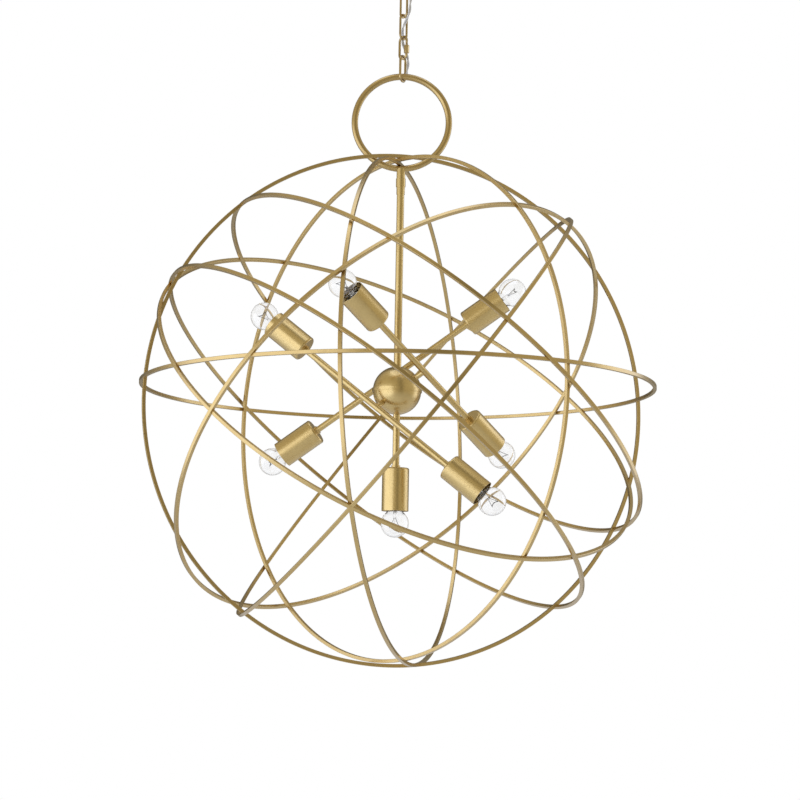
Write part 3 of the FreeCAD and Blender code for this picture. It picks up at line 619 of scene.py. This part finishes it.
def build_link_tree():
    """A round wire on an upright oval that hangs by the middle of its top wire."""
    sizes = (
        ("Legs Apart", "NodeSocketFloat", 0.015),
        ("Pitch", "NodeSocketFloat", 0.04),
        ("Bar", "NodeSocketFloat", 0.0036),
    )
    tree, given, outlet = sized_tree("Bent Link", sizes)
    box = add(tree, "GeometryNodeCurvePrimitiveQuadrilateral")
    feed(tree, box, {"Width": given["Legs Apart"], "Height": given["Pitch"]})
    corner = maths(tree, "MULTIPLY", given["Legs Apart"], BEND_SHARE)
    bend = add(tree, "GeometryNodeFilletCurve", mode="POLY")
    feed(tree, bend, {"Curve": box.outputs["Curve"], "Radius": corner, "Count": BEND_STEPS})
    fine = add(tree, "GeometryNodeResampleCurve")
    feed(tree, fine, {"Curve": bend.outputs["Curve"], "Count": LINK_STEPS})
    section = add(tree, "GeometryNodeCurvePrimitiveCircle")
    radius = maths(tree, "MULTIPLY", given["Bar"], 0.5)
    feed(tree, section, {"Radius": radius, "Resolution": LINK_SIDES})
    bar = swept(tree, fine.outputs["Curve"], section.outputs["Curve"])
    drop = add(tree, "ShaderNodeCombineXYZ")
    feed(tree, drop, {"Z": maths(tree, "MULTIPLY", given["Pitch"], -0.5)})
    upright = add(tree, "GeometryNodeTransform")
    feed(tree, upright, {"Geometry": bar, "Rotation": (math.pi / 2, 0, 0)})
    feed(tree, upright, {"Translation": drop.outputs["Vector"]})
    return close_tree(tree, given, outlet, upright.outputs["Geometry"])


link_tree = build_link_tree()
print("tree:", link_tree.name, "with", len(link_tree.nodes), "nodes")

# %% Hang the three plain links
# Each row: body, CAD node, wire, legs apart, pitch, height of the top wire, turn.
PLAIN_LINKS = (
    ("link_1", "chain_link_1", 3.6, 14.7, 40.6, -60.4, -45.0),
    ("link_2", "chain_link_2", 3.6, 14.7, 40.6, -97.1, 45.0),
    ("hanger", "hanger_link", 4.0, 18.0, 42.0, -166.3, 63.0),
)

for body, node, bar, apart, pitch, high, heading in PLAIN_LINKS:
    piece = grow(
        link_tree,
        "bent_" + node,
        {
            "Legs Apart": apart * MM,
            "Pitch": pitch * MM,
            "Bar": bar * MM,
            "Turned": (0.0, 0.0, math.radians(heading)),
            "Moved": tuple(mm(0, 0, high)),
            "Finish": chain_gold,
        },
    )
    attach(piece, body)
    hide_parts(node)
print("plain links:", len(PLAIN_LINKS), "with", len(piece.data.polygons), "faces each")

# %% [markdown]
# ## Round forms in mesh code
#
# Everything else that is turned, threaded or drawn as wire is a skin over a row of
# rings. One function lays that skin, a second draws a wire that follows points in
# space, and a third draws a turned part. A radius may be a function instead of a
# number, and that is how a screw thread is cut. These parts are drawn in millimetres
# and brought to metres when they become a piece.

# %% Lay a skin over rings
SKIN_EDGE = math.radians(38)


def skin(shape, rings, finish=0):
    """Joins the rings, each a row of points, or one point where the skin closes."""
    rows = [[shape.verts.new(point) for point in ring] for ring in rings]
    for low, high in zip(rows, rows[1:]):
        count = max(len(low), len(high))
        for k in range(count):
            after = (k + 1) % count
            if len(low) == 1:
                corners = (low[0], high[after], high[k])
            elif len(high) == 1:
                corners = (low[k], low[after], high[0])
            else:
                corners = (low[k], low[after], high[after], high[k])
            face = shape.faces.new(corners)
            face.smooth = True
            face.material_index = finish


def rings_along(points, radius, sides):
    """Rings of a wire through points. radius may be a function of (way, turn)."""
    steps = [(b - a).normalized() for a, b in zip(points, points[1:])]
    ahead = [steps[0], *[(a + b).normalized() for a, b in zip(steps, steps[1:])], steps[-1]]
    side = ahead[0].orthogonal().normalized()
    rings, way, last = [], 0.0, points[0]
    for point, along in zip(points, ahead):
        side = (side - along * side.dot(along)).normalized()
        up = along.cross(side)
        way += (point - last).length
        last = point
        ring = []
        for k in range(sides):
            turn = k / sides
            reach = radius(way, turn) if callable(radius) else radius
            angle = math.tau * turn
            ring.append(point + (side * math.cos(angle) + up * math.sin(angle)) * reach)
        rings.append(ring)
    return rings


def wire(shape, points, radius, sides, finish=0):
    """A closed wire through points."""
    rings = rings_along(points, radius, sides)
    skin(shape, [[points[0]], *rings, [points[-1]]], finish)


def turned(shape, profile, sides, finish=0):
    """A turned part from (radius, height) rows. A radius of 0 closes the skin."""
    rings = []
    for radius, height in profile:
        if radius == 0:
            rings.append([Vector((0, 0, height))])
            continue
        ring = []
        for k in range(sides):
            reach = radius(k / sides) if callable(radius) else radius
            angle = math.tau * k / sides
            ring.append(Vector((reach * math.cos(angle), reach * math.sin(angle), height)))
        rings.append(ring)
    skin(shape, rings, finish)


def piece_of(name, shape, finishes, place=Matrix.Identity(4)):
    """Turns a shape in millimetres into a piece that stands at place."""
    mesh = bpy.data.meshes.new(name)
    shape.to_mesh(mesh)
    shape.free()
    mesh.transform(Matrix.Scale(MM, 4) @ place)
    mesh.set_sharp_from_angle(angle=SKIN_EDGE)
    for finish in finishes:
        mesh.materials.append(finish)
    piece = bpy.data.objects.new(name, mesh)
    bpy.context.scene.collection.objects.link(piece)
    return piece


def arc(middle, radius, first, last, steps):
    """Points (across, height) on an arc from angle first to last, in degrees."""
    angles = [math.radians(first + (last - first) * k / steps) for k in range(steps + 1)]
    return [
        (middle[0] + radius * math.cos(a), middle[1] + radius * math.sin(a)) for a in angles
    ]


print("round forms ready")

# %% [markdown]
# ## The quick link and its nut
#
# The quick link is an oval of thicker wire with a gap in one leg. Both ends at the gap
# carry a thread, and the six-sided nut screws over them. Run up the leg, the nut bares
# the gap, and the link can be taken off the chain.

# %% Bend the quick link and cut its thread
QUICK_HIGH = -133.6
QUICK_TURN = -45.0
QUICK_BAR = 4.0
QUICK_PITCH = 37.0
QUICK_BEND = 8.0
QUICK_GAP = (-26.0, -21.5)
QUICK_BEND_STEPS = 36
QUICK_SIDES = 32
THREAD_PITCH = 0.8
THREAD_DEPTH = 0.28
THREAD_RUN = 12.5
THREAD_FADE = 6
END_LENGTH = 0.4
END_BLUNT = 0.3


def leg(first, last, step=0.1):
    """Points down or up the open leg, close enough for its thread."""
    count = round(abs(last - first) / step)
    return [(QUICK_BEND, first + (last - first) * k / count) for k in range(count)]


foot = QUICK_BEND - QUICK_PITCH
quick_line = [
    *leg(QUICK_GAP[0], foot),
    *arc((0, foot), QUICK_BEND, 0, -180, QUICK_BEND_STEPS),
    *arc((0, -QUICK_BEND), QUICK_BEND, 180, 0, QUICK_BEND_STEPS),
    *leg(-QUICK_BEND, QUICK_GAP[1])[1:],
    (QUICK_BEND, QUICK_GAP[1]),
]
quick_points = [Vector((x, 0, z)) for x, z in quick_line]
quick_length = sum((b - a).length for a, b in zip(quick_points, quick_points[1:]))


def threaded(way, turn):
    """The radius of the quick link's wire, with a thread near both ends."""
    from_low, from_high = way, quick_length - way
    near = min(from_low / (QUICK_GAP[0] - foot), from_high / THREAD_RUN)
    if near >= 1:
        return QUICK_BAR / 2
    wave = 0.5 - 0.5 * math.cos(math.tau * (way / THREAD_PITCH - turn))
    blunt = END_BLUNT * max(0.0, 1 - min(from_low, from_high) / END_LENGTH)
    cut = THREAD_DEPTH * wave * min(1.0, THREAD_FADE * (1 - near))
    return QUICK_BAR / 2 - cut - blunt


shape = bmesh.new()
wire(shape, quick_points, threaded, QUICK_SIDES)
quick_place = Matrix.Translation((0, 0, QUICK_HIGH)) @ Matrix.Rotation(
    math.radians(QUICK_TURN), 4, "Z"
)
quick_wire = piece_of("bent_quick_link", shape, [chain_gold], quick_place)
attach(quick_wire, "quick_link")
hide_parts("quick_link")
print("quick link:", round(quick_length, 1), "mm of wire")

# %% File the six-sided nut
NUT_LENGTH = 13.0
NUT_ACROSS = 7.6
NUT_BORE = 2.12
NUT_LOW = foot + 0.2
NUT_TURN = math.radians(15)
NUT_SIDES = 72
NUT_BORE_STEPS = 8
# The cone that takes the corners off: rows of height from the end and radius.
NUT_CONE = ((0.0, 3.7), (0.25, 3.95), (0.55, 4.2), (0.8, 4.39))


def six_sided(cone):
    """The radius of a hexagon, no larger than cone, as a function of the turn."""

    def radius(turn):
        off_flat = (math.tau * turn + NUT_TURN) % (math.pi / 3) - math.pi / 6
        return min(NUT_ACROSS / 2 / math.cos(off_flat), cone)

    return radius


shape = bmesh.new()
half_way = [(six_sided(cone), up) for up, cone in NUT_CONE]
bore = [
    (NUT_BORE, NUT_LENGTH * (1 - k / NUT_BORE_STEPS)) for k in range(NUT_BORE_STEPS + 1)
]
nut_rows = [
    *bore,
    *half_way,
    *[(radius, NUT_LENGTH - up) for radius, up in reversed(half_way)],
    (NUT_BORE, NUT_LENGTH),
]
turned(shape, nut_rows, NUT_SIDES)
bmesh.ops.remove_doubles(shape, verts=shape.verts, dist=0.0005)
nut_place = quick_place @ Matrix.Translation((QUICK_BEND, 0, NUT_LOW))
quick_nut = piece_of("filed_quick_nut", shape, [chain_gold], nut_place)
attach(quick_nut, "quick_nut")
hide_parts("quick_link_nut")
print("nut:", len(quick_nut.data.polygons), "faces")

# %% [markdown]
# ## The cord
#
# The cord is two wires twisted round each other, with bright tinned strands that show
# through a clear skin. Each wire winds round the route that was drawn above. The chain
# has five hinges, and a piece can bend across one hinge, so the cord is made in five
# lengths. They meet where all of the cord follows one link.

# %% Tinned strands under a clear skin
cord_skin = filmed(
    "clear_cord",
    ((0.66, 0.64, 0.6), (0.5, 0.48, 0.44)),
    (0.3, 0.45),
    (160.0, 2400.0),
    metal=0.4,
    bump=(0.3, 0.01),
    coat=(0.8, 0.16),
)
print("cord finish:", cord_skin.name)

# %% Twist two wires round the route
# STRAND is the radius of one wire and LAY the length of one turn of the twist.
STRAND = 1.15
LAY = 40.0
STRAND_SIDES = 18
TURN_STEPS = 360
route_line_mm = [point / MM for point in route_points]
turning = rings_along(route_line_mm, STRAND, TURN_STEPS)
ways = [0.0]
for a, b in zip(route_line_mm, route_line_mm[1:]):
    ways.append(ways[-1] + (b - a).length)
strands = []
for start in (0, TURN_STEPS // 2):
    wound = [
        ring[(start + round(TURN_STEPS * way / LAY)) % TURN_STEPS]
        for ring, way in zip(turning, ways)
    ]
    strands.append(rings_along(wound, STRAND, STRAND_SIDES))
print("strands:", len(strands), "with", len(strands[0]), "rings each")

# %% Cut the cord into the five lengths that the hinges need
# Each row: the two bodies, and the heights where the bend between them starts and ends.
CORD_BENDS = (
    ("ceiling", "link_1", -57.0, -71.0),
    ("link_1", "link_2", -91.0, -106.0),
    ("link_2", "quick_link", -125.0, -139.0),
    ("quick_link", "hanger", -155.0, -168.5),
    ("hanger", "orb", -184.0, -200.0),
)
CORD_CUTS = (-79.0, -113.0, -141.5, -170.4)
cuts = [0]
for height in CORD_CUTS:
    cuts.append(next(k for k, point in enumerate(route_line_mm) if point.z <= height))
cuts.append(len(route_line_mm) - 1)

for number, (upper, lower, start, end) in enumerate(CORD_BENDS):
    first, last = cuts[number], cuts[number + 1]
    shape = bmesh.new()
    for rings in strands:
        stretch = rings[first : last + 1]
        middles = [sum(ring, Vector()) / len(ring) for ring in (stretch[0], stretch[-1])]
        skin(shape, [[middles[0]], *stretch, [middles[1]]])
    cord_piece = piece_of(f"cord_{number + 1}", shape, [cord_skin])
    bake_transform(cord_piece)
    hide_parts("supply_cord")
    print(cord_piece.name, round(ways[last] - ways[first], 1), "mm from", upper, "to", lower)

# %% [markdown]
# ## Where the seven bulbs stand
#
# Three arms cross at the ball and carry a bulb at each end, and the seventh bulb looks
# down from the lower stem. An arm is placed by its turn, its rise and its roll about
# its own line. Along each lamp's own axis the cup starts at 0, so one drawing of the
# bulb serves at all seven places.

# %% Place the seven lamps
BALL_CENTRE = -716.3
ARM_OFFSET = 55.5
CUP_LENGTH = 69.0
LOWEST_LAMP = -840.3
# Each row: turn, rise, roll and length of the arm, and the numbers of its two lamps.
ARMS = (
    (-12.6, -38.4, -44.7, 440.0, 1, 2),
    (-142.2, 36.7, 131.1, 370.0, 3, 4),
    (-11.3, 34.9, 126.0, 440.0, 5, 6),
)


def spin(degrees, axis):
    """A rotation about one axis."""
    return Matrix.Rotation(math.radians(degrees), 4, axis)


lamps = {}
for heading, rise, roll, length, near_lamp, far_lamp in ARMS:
    arm = Matrix.Translation((0, 0, BALL_CENTRE)) @ spin(heading, "Z") @ spin(90 - rise, "Y")
    arm = arm @ spin(roll, "Z") @ Matrix.Translation((ARM_OFFSET, 0, 0))
    out = length / 2 - CUP_LENGTH
    lamps[near_lamp] = arm @ Matrix.Translation((0, 0, out))
    lamps[far_lamp] = arm @ Matrix.Translation((0, 0, -out)) @ spin(180, "X")
lamps[7] = Matrix.Translation((0, 0, LOWEST_LAMP)) @ spin(180, "X")
for number in sorted(lamps):
    print("lamp", number, "at", [round(v) for v in lamps[number].translation])

# %% [markdown]
# ## Drawing one bulb
#
# A globe bulb has a screw cap of thin pressed nickel, with the rolled thread that
# lampholders take, a ring of black glass under it and a drop of solder in the middle.
# The blown globe runs down into a neck that the cap holds. Inside stands a glass stem
# with a post and two leads, and a coil of tungsten wire hangs between the leads' tips.

# %% The screw cap
CAP_THREAD_LOW = 42.6
CAP_THREAD_HIGH = 60.6
CAP_THREAD_PITCH = 3.6
CAP_THREAD_RADIUS = 12.45
CAP_THREAD_DEPTH = 0.5
CAP_THREAD_FADE = 1.5
CAP_THREAD_STEP = 0.3
# Outlines as rows of (radius, height), from a closed end to a closed end.
CAP_FOOT = ((0, 41.5), (5.0, 41.5), (10.2, 41.5), (11.6, 41.9), (12.2, 42.5))
CAP_RIM = (
    (12.7, 61.2), (13.0, 61.9), (13.0, 63.0), (12.9, 63.6), (12.6, 63.9),
    (12.36, 63.8), (12.34, 61.0), (12.34, 57.9), (0, 57.9),
)
BLACK_RING = (
    (0, 38.0), (4.4, 38.0), (5.6, 38.2), (7.6, 39.2),
    (9.3, 40.4), (10.1, 41.2), (9.9, 41.55), (0, 41.6),
)
SOLDER_DROP = ((0, 37.05), (1.6, 37.1), (2.8, 37.35), (3.9, 37.8), (4.3, 38.15), (0, 38.3))


def rolled(height):
    """The radius of the cap's thread at this height, as a function of the turn."""
    from_end = min(height - CAP_THREAD_LOW, CAP_THREAD_HIGH - height)
    fade = min(1.0, max(0.0, from_end / CAP_THREAD_FADE))

    def radius(turn):
        wave = math.cos(math.tau * (height / CAP_THREAD_PITCH - turn))
        return CAP_THREAD_RADIUS + CAP_THREAD_DEPTH * fade * wave

    return radius


def draw_cap():
    """The pressed cap, its ring of black glass and its drop of solder."""
    shape = bmesh.new()
    steps = round((CAP_THREAD_HIGH - CAP_THREAD_LOW) / CAP_THREAD_STEP)
    heights = [CAP_THREAD_LOW + CAP_THREAD_STEP * k for k in range(steps + 1)]
    thread = [(rolled(height), height) for height in heights]
    turned(shape, [*CAP_FOOT, *thread, *CAP_RIM], sides=72)
    turned(shape, BLACK_RING, sides=48, finish=1)
    turned(shape, SOLDER_DROP, sides=32, finish=2)
    return shape


shape = draw_cap()
print("cap:", len(shape.faces), "faces")
shape.free()

# %% The blown globe
GLOBE_RADIUS = 22.3
GLOBE_MIDDLE = 88.7
GLOBE_SIDES = 72
GLOBE_STEPS = 44
GLASS = 1.0
NECK_RADIUS = 12.3
NECK_LOW = 58.0
NECK_STEPS = 6
NECK_BEND = 6.0
NECK_BEND_STEPS = 10


def glass_side(inward):
    """The outline of the glass from its neck to its top, set inward by a distance."""
    bend, globe = NECK_BEND + inward, GLOBE_RADIUS - inward
    across = NECK_RADIUS + NECK_BEND
    reach = math.sqrt((GLOBE_RADIUS + NECK_BEND) ** 2 - across**2)
    middle = (across, GLOBE_MIDDLE - reach)
    meets = math.degrees(math.atan2(reach, -across))
    heights = [NECK_LOW + k * (middle[1] - NECK_LOW) / NECK_STEPS for k in range(NECK_STEPS)]
    line = [(NECK_RADIUS - inward, height) for height in heights]
    line += arc(middle, bend, 180, meets, NECK_BEND_STEPS)
    line += arc((0, GLOBE_MIDDLE), globe, meets - 180, 90, GLOBE_STEPS)[1:-1]
    return [*line, (0, GLOBE_MIDDLE + globe)]


def draw_globe():
    """The glass from the top of its inner side down to the neck and up outside."""
    shape = bmesh.new()
    turned(shape, [*reversed(glass_side(GLASS)), *glass_side(0)], GLOBE_SIDES)
    return shape


shape = draw_globe()
print("globe:", len(shape.faces), "faces")
shape.free()

# %% The stem, leads and filament
STEM = (
    (0, 58.2), (9.5, 58.2), (10.2, 58.8), (8.4, 60.4), (5.2, 62.6), (3.4, 66.0),
    (2.7, 70.0), (2.5, 76.0), (2.7, 79.0), (2.1, 80.6), (0, 81.2),
)
LEAD_FOOT = 1.3
FOOT_HEIGHT = 79.6
LEAD_TIP = 8.2
TIP_HEIGHT = 95.0
LEAD_CURVE = 1.3
LEAD_WIRE = 0.42
HOOK_BEND = 0.5
HOOK_WIRE = 0.3
POST_HEIGHT = 80.6
POST_STEP = 1.5
POST_WIRE = 0.2
COIL_TURNS = 34
COIL_SIDES = 12
COIL_RADIUS = 0.62
COIL_SAG = 2.4
COIL_WIRE = 0.14


def draw_mount():
    """The glass stem, two leads with hooked tips, a post and the coil between the tips."""
    shape = bmesh.new()
    turned(shape, STEM, sides=32)
    for way in (-1, 1):
        lead = []
        for t in [k / 14 for k in range(15)]:
            out = LEAD_FOOT + (LEAD_TIP - LEAD_FOOT) * t**LEAD_CURVE
            lead.append(Vector((way * out, 0, FOOT_HEIGHT + (TIP_HEIGHT - FOOT_HEIGHT) * t)))
        wire(shape, lead, LEAD_WIRE, sides=10, finish=2)
        hook = []
        for angle in [math.pi * k / 8 for k in range(9)]:
            out = LEAD_TIP + HOOK_BEND * math.sin(angle)
            height = TIP_HEIGHT + HOOK_BEND - HOOK_BEND * math.cos(angle)
            hook.append(Vector((way * out, 0, height)))
        wire(shape, hook, HOOK_WIRE, sides=8, finish=1)
    post = [Vector((0, 0, POST_HEIGHT + k * POST_STEP)) for k in range(9)]
    wire(shape, post, POST_WIRE, sides=8, finish=1)
    coil = []
    for k in range(COIL_TURNS * COIL_SIDES + 1):
        t = k / (COIL_TURNS * COIL_SIDES)
        angle = math.tau * COIL_TURNS * t
        height = TIP_HEIGHT - COIL_SAG * math.sin(math.pi * t)
        centre = Vector((LEAD_TIP * (2 * t - 1), 0, height))
        around = Vector((0, COIL_RADIUS * math.cos(angle), COIL_RADIUS * math.sin(angle)))
        coil.append(centre + around)
    wire(shape, coil, COIL_WIRE, sides=6, finish=2)
    return shape


shape = draw_mount()
print("mount:", len(shape.faces), "faces")
shape.free()

# %% Stand seven bulbs in their lampholders
for number, place in sorted(lamps.items()):
    body = f"bulb_{number}"
    cap = piece_of(f"screw_cap_{number}", draw_cap(), [nickel, black_glass, solder], place)
    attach(cap, body)
    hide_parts(f"bulb_cap_{number}")
    globe = piece_of(f"blown_globe_{number}", draw_globe(), [bulb_glass], place)
    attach(globe, body)
    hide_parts(f"bulb_glass_{number}")
    mount = piece_of(f"bulb_mount_{number}", draw_mount(), [bulb_glass, nickel, tungsten], place)
    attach(mount, body)
print("bulbs:", len(lamps))

# %% [markdown]
# ## Dressing the turned parts
#
# The canopy, ring, stem, ball, arms, cups and lampholders keep their CAD shape. Each
# gets its finish here, and nothing about its shape or place is touched.

# %% Give the CAD parts their finish
DRESS = {
    cup_gold: (
        "canopy", "collar_nut", "ring_neck", "stem_coupling", "stem_nut", "upper_stem",
        "lower_stem", "ball_upper", "ball_lower", "arm_low", "arm_high", "arm_rear",
        "arm_stubs", "cups", "cup_ferrules",
    ),
    ring_gold: ("hanging_ring",),
    chain_gold: ("canopy_loop",),
    zinc: ("crossbar", "nipple", "lock_nut", "hub"),
    porcelain: ("lampholders",),
}

dressed = []
for finish, names in DRESS.items():
    for name in names:
        mesh = nodes[name].data
        for slot_number in range(len(mesh.materials)):
            mesh.materials[slot_number] = finish
        if not mesh.materials:
            mesh.materials.append(finish)
        dressed.append(name)
bare = [n for n, o in nodes.items() if n not in dressed and not o.hide_render]
print("dressed:", len(dressed), "still bare:", bare)

# %% [markdown]
# ## Light, floor and background
#
# The photograph was taken against white. The background is plain white at strength 1
# for the camera and for rays that pass through the bulbs. The metal sees a greyer
# room, which is dark far behind the orb, so that every cup and bulb gets a dark edge,
# and dark in a narrow strip just right of the camera, which draws the thin dark line
# on cups and stems. The room is warmer than the panels, so the gold is deep where it
# mirrors the room and creamy where it mirrors a panel.

# %% A white room
SEEN_WHITE = 1.0
ROOM_IN_METAL = 0.62
ROOM_LIGHT = 0.6
ROOM_TONE = (1.0, 0.93, 0.74, 1)
# Both dark parts start and end at a share of the ray's direction, whose length is 1.
DARK_BEHIND = 0.35
BEHIND_FROM, BEHIND_TO = 0.35, 0.85
DARK_STRIP = 0.4
STRIP_AT = math.radians(18)
STRIP_INNER, STRIP_OUTER = 0.08, 0.24

world = bpy.data.worlds.new("room")
bpy.context.scene.world = world
world.use_nodes = True
room = world.node_tree
background = room.nodes["Background"]
split = add(room, "ShaderNodeSeparateXYZ")
feed(room, split, {"Vector": add(room, "ShaderNodeTexCoord").outputs["Generated"]})
gaze = split.outputs


def fading(value, start, end, before, after):
    """A soft step from before to after while value goes from start to end."""
    ends = {"From Min": start, "From Max": end, "To Min": before, "To Max": after}
    return ranged(room, value, ends)


behind = fading(gaze["Y"], BEHIND_FROM, BEHIND_TO, 1.0, DARK_BEHIND)
sideways = maths(
    room,
    "ADD",
    maths(room, "MULTIPLY", gaze["X"], math.cos(STRIP_AT)),
    maths(room, "MULTIPLY", gaze["Y"], math.sin(STRIP_AT)),
)
strip = fading(maths(room, "ABSOLUTE", sideways), STRIP_INNER, STRIP_OUTER, DARK_STRIP, 1.0)
in_metal = maths(room, "MULTIPLY", maths(room, "MULTIPLY", behind, strip), ROOM_IN_METAL)
print("room:", len(room.nodes), "nodes before the rays are told apart")

# %% What each kind of ray sees of the room
rays = add(room, "ShaderNodeLightPath").outputs
seen = maths(room, "MAXIMUM", rays["Is Camera Ray"], rays["Is Transmission Ray"])
mirrored = maths(room, "SUBTRACT", rays["Is Glossy Ray"], rays["Is Transmission Ray"])
metal = maths(room, "SUBTRACT", in_metal, ROOM_LIGHT)
metal = maths(room, "MULTIPLY", metal, rays["Is Glossy Ray"])
unseen = maths(room, "ADD", metal, ROOM_LIGHT)
lift = maths(room, "MULTIPLY", maths(room, "SUBTRACT", SEEN_WHITE, unseen), seen)
tone = mixed(room, mirrored, (1, 1, 1, 1), ROOM_TONE)
feed(room, background, {"Color": tone, "Strength": maths(room, "ADD", unseen, lift)})
print("room:", len(room.nodes), "nodes")

# %% [markdown]
# A wide panel from the left round to the front draws the broad bright stripe on cups
# and stems, and one on the right and a little behind draws the thin one. A third
# panel overhead lights the tops. No panel shows itself, to the camera or through the
# glass of a bulb.

# %% Three panels of light
TARGET = mm(0, 0, -742)
# Each row: name, azimuth from the camera and height in degrees, distance, width, height, radiance.
PANELS = (
    ("panel_left", -62.0, -6.0, 3.0, 5.6, 2.6, 1.2),
    ("panel_right", 108.0, 4.0, 3.0, 1.9, 2.8, 1.1),
    ("panel_top", 0.0, 86.0, 3.2, 2.6, 2.6, 1.2),
)
PANEL_TONE = (0.89, 1.0, 1.35)

for name, azimuth, rise, distance, wide, high, radiance in PANELS:
    lamp = bpy.data.lights.new(name, "AREA")
    lamp.shape = "RECTANGLE"
    lamp.size = wide
    lamp.size_y = high
    lamp.energy = radiance * math.pi * wide * high
    lamp.color = PANEL_TONE
    around, up = math.radians(azimuth), math.radians(rise)
    level = math.cos(up) * distance
    spot = TARGET + Vector(
        (math.sin(around) * level, -math.cos(around) * level, math.sin(up) * distance)
    )
    panel = bpy.data.objects.new(name, lamp)
    panel.location = spot
    panel.rotation_euler = (TARGET - spot).to_track_quat("-Z", "Y").to_euler()
    panel.visible_camera = False
    panel.visible_transmission = False
    bpy.context.scene.collection.objects.link(panel)
    panel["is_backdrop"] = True
print("panels:", len(PANELS))

# %% [markdown]
# The floor is pale where the orb stands over it and goes over into the white of the
# background before it ends, so that no edge of it shows. Only the camera sees it fade.

# %% A pale floor
FLOOR_HEIGHT = -2400.0
FLOOR_WIDTH = 12000.0
FADE_FROM = 1200.0
FADE_TO = 5400.0
FLOOR_TONES = ((0.9, 0.9, 0.9, 1), (0.87, 0.87, 0.865, 1))
FLOOR_CLOUDS = (0.8, 3.0)
FLOOR_ROUGHNESS = 0.9
FLOOR_GLINT = 0.1


def pale_paint():
    """Matt pale paint that goes over into white light away from its middle."""
    material, tree, surface, place = new_finish("pale_floor")
    tint = mixed(tree, noise(tree, place, *FLOOR_CLOUDS), *FLOOR_TONES)
    feed(tree, surface, {"Base Color": tint, "Roughness": FLOOR_ROUGHNESS})
    feed(tree, surface, {"Specular IOR Level": FLOOR_GLINT})
    level = add(tree, "ShaderNodeVectorMath", operation="MULTIPLY")
    feed(tree, level, {0: place, 1: (1, 1, 0)})
    away = add(tree, "ShaderNodeVectorMath", operation="LENGTH")
    feed(tree, away, {0: level.outputs["Vector"]})
    ends = {"From Min": FADE_FROM * MM, "From Max": FADE_TO * MM}
    fade = ranged(tree, away.outputs["Value"], ends)
    by_camera = add(tree, "ShaderNodeLightPath").outputs["Is Camera Ray"]
    white = add(tree, "ShaderNodeEmission").outputs["Emission"]
    blend = add(tree, "ShaderNodeMixShader")
    share = maths(tree, "MULTIPLY", fade, by_camera)
    feed(tree, blend, {"Fac": share, 1: surface.outputs["BSDF"], 2: white})
    feed(tree, tree.nodes["Material Output"], {"Surface": blend.outputs["Shader"]})
    return material


shape = bmesh.new()
edge = FLOOR_WIDTH / 2
corners = [(-edge, -edge), (edge, -edge), (edge, edge), (-edge, edge)]
shape.faces.new([shape.verts.new((x, y, FLOOR_HEIGHT)) for x, y in corners])
floor = piece_of("floor", shape, [pale_paint()])
floor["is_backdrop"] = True
bpy.context.scene.view_settings.view_transform = "Standard"
print("floor at", FLOOR_HEIGHT, "mm")

# %% [markdown]
# ## The size after dressing
#
# The dressed model must stay as large as the CAD model. Both boxes are printed below.

# %% Print both boxes
finished_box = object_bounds()
for before, after in zip(model_box, finished_box):
    print("box:", [round(v, 4) for v in before], [round(v, 4) for v in after])
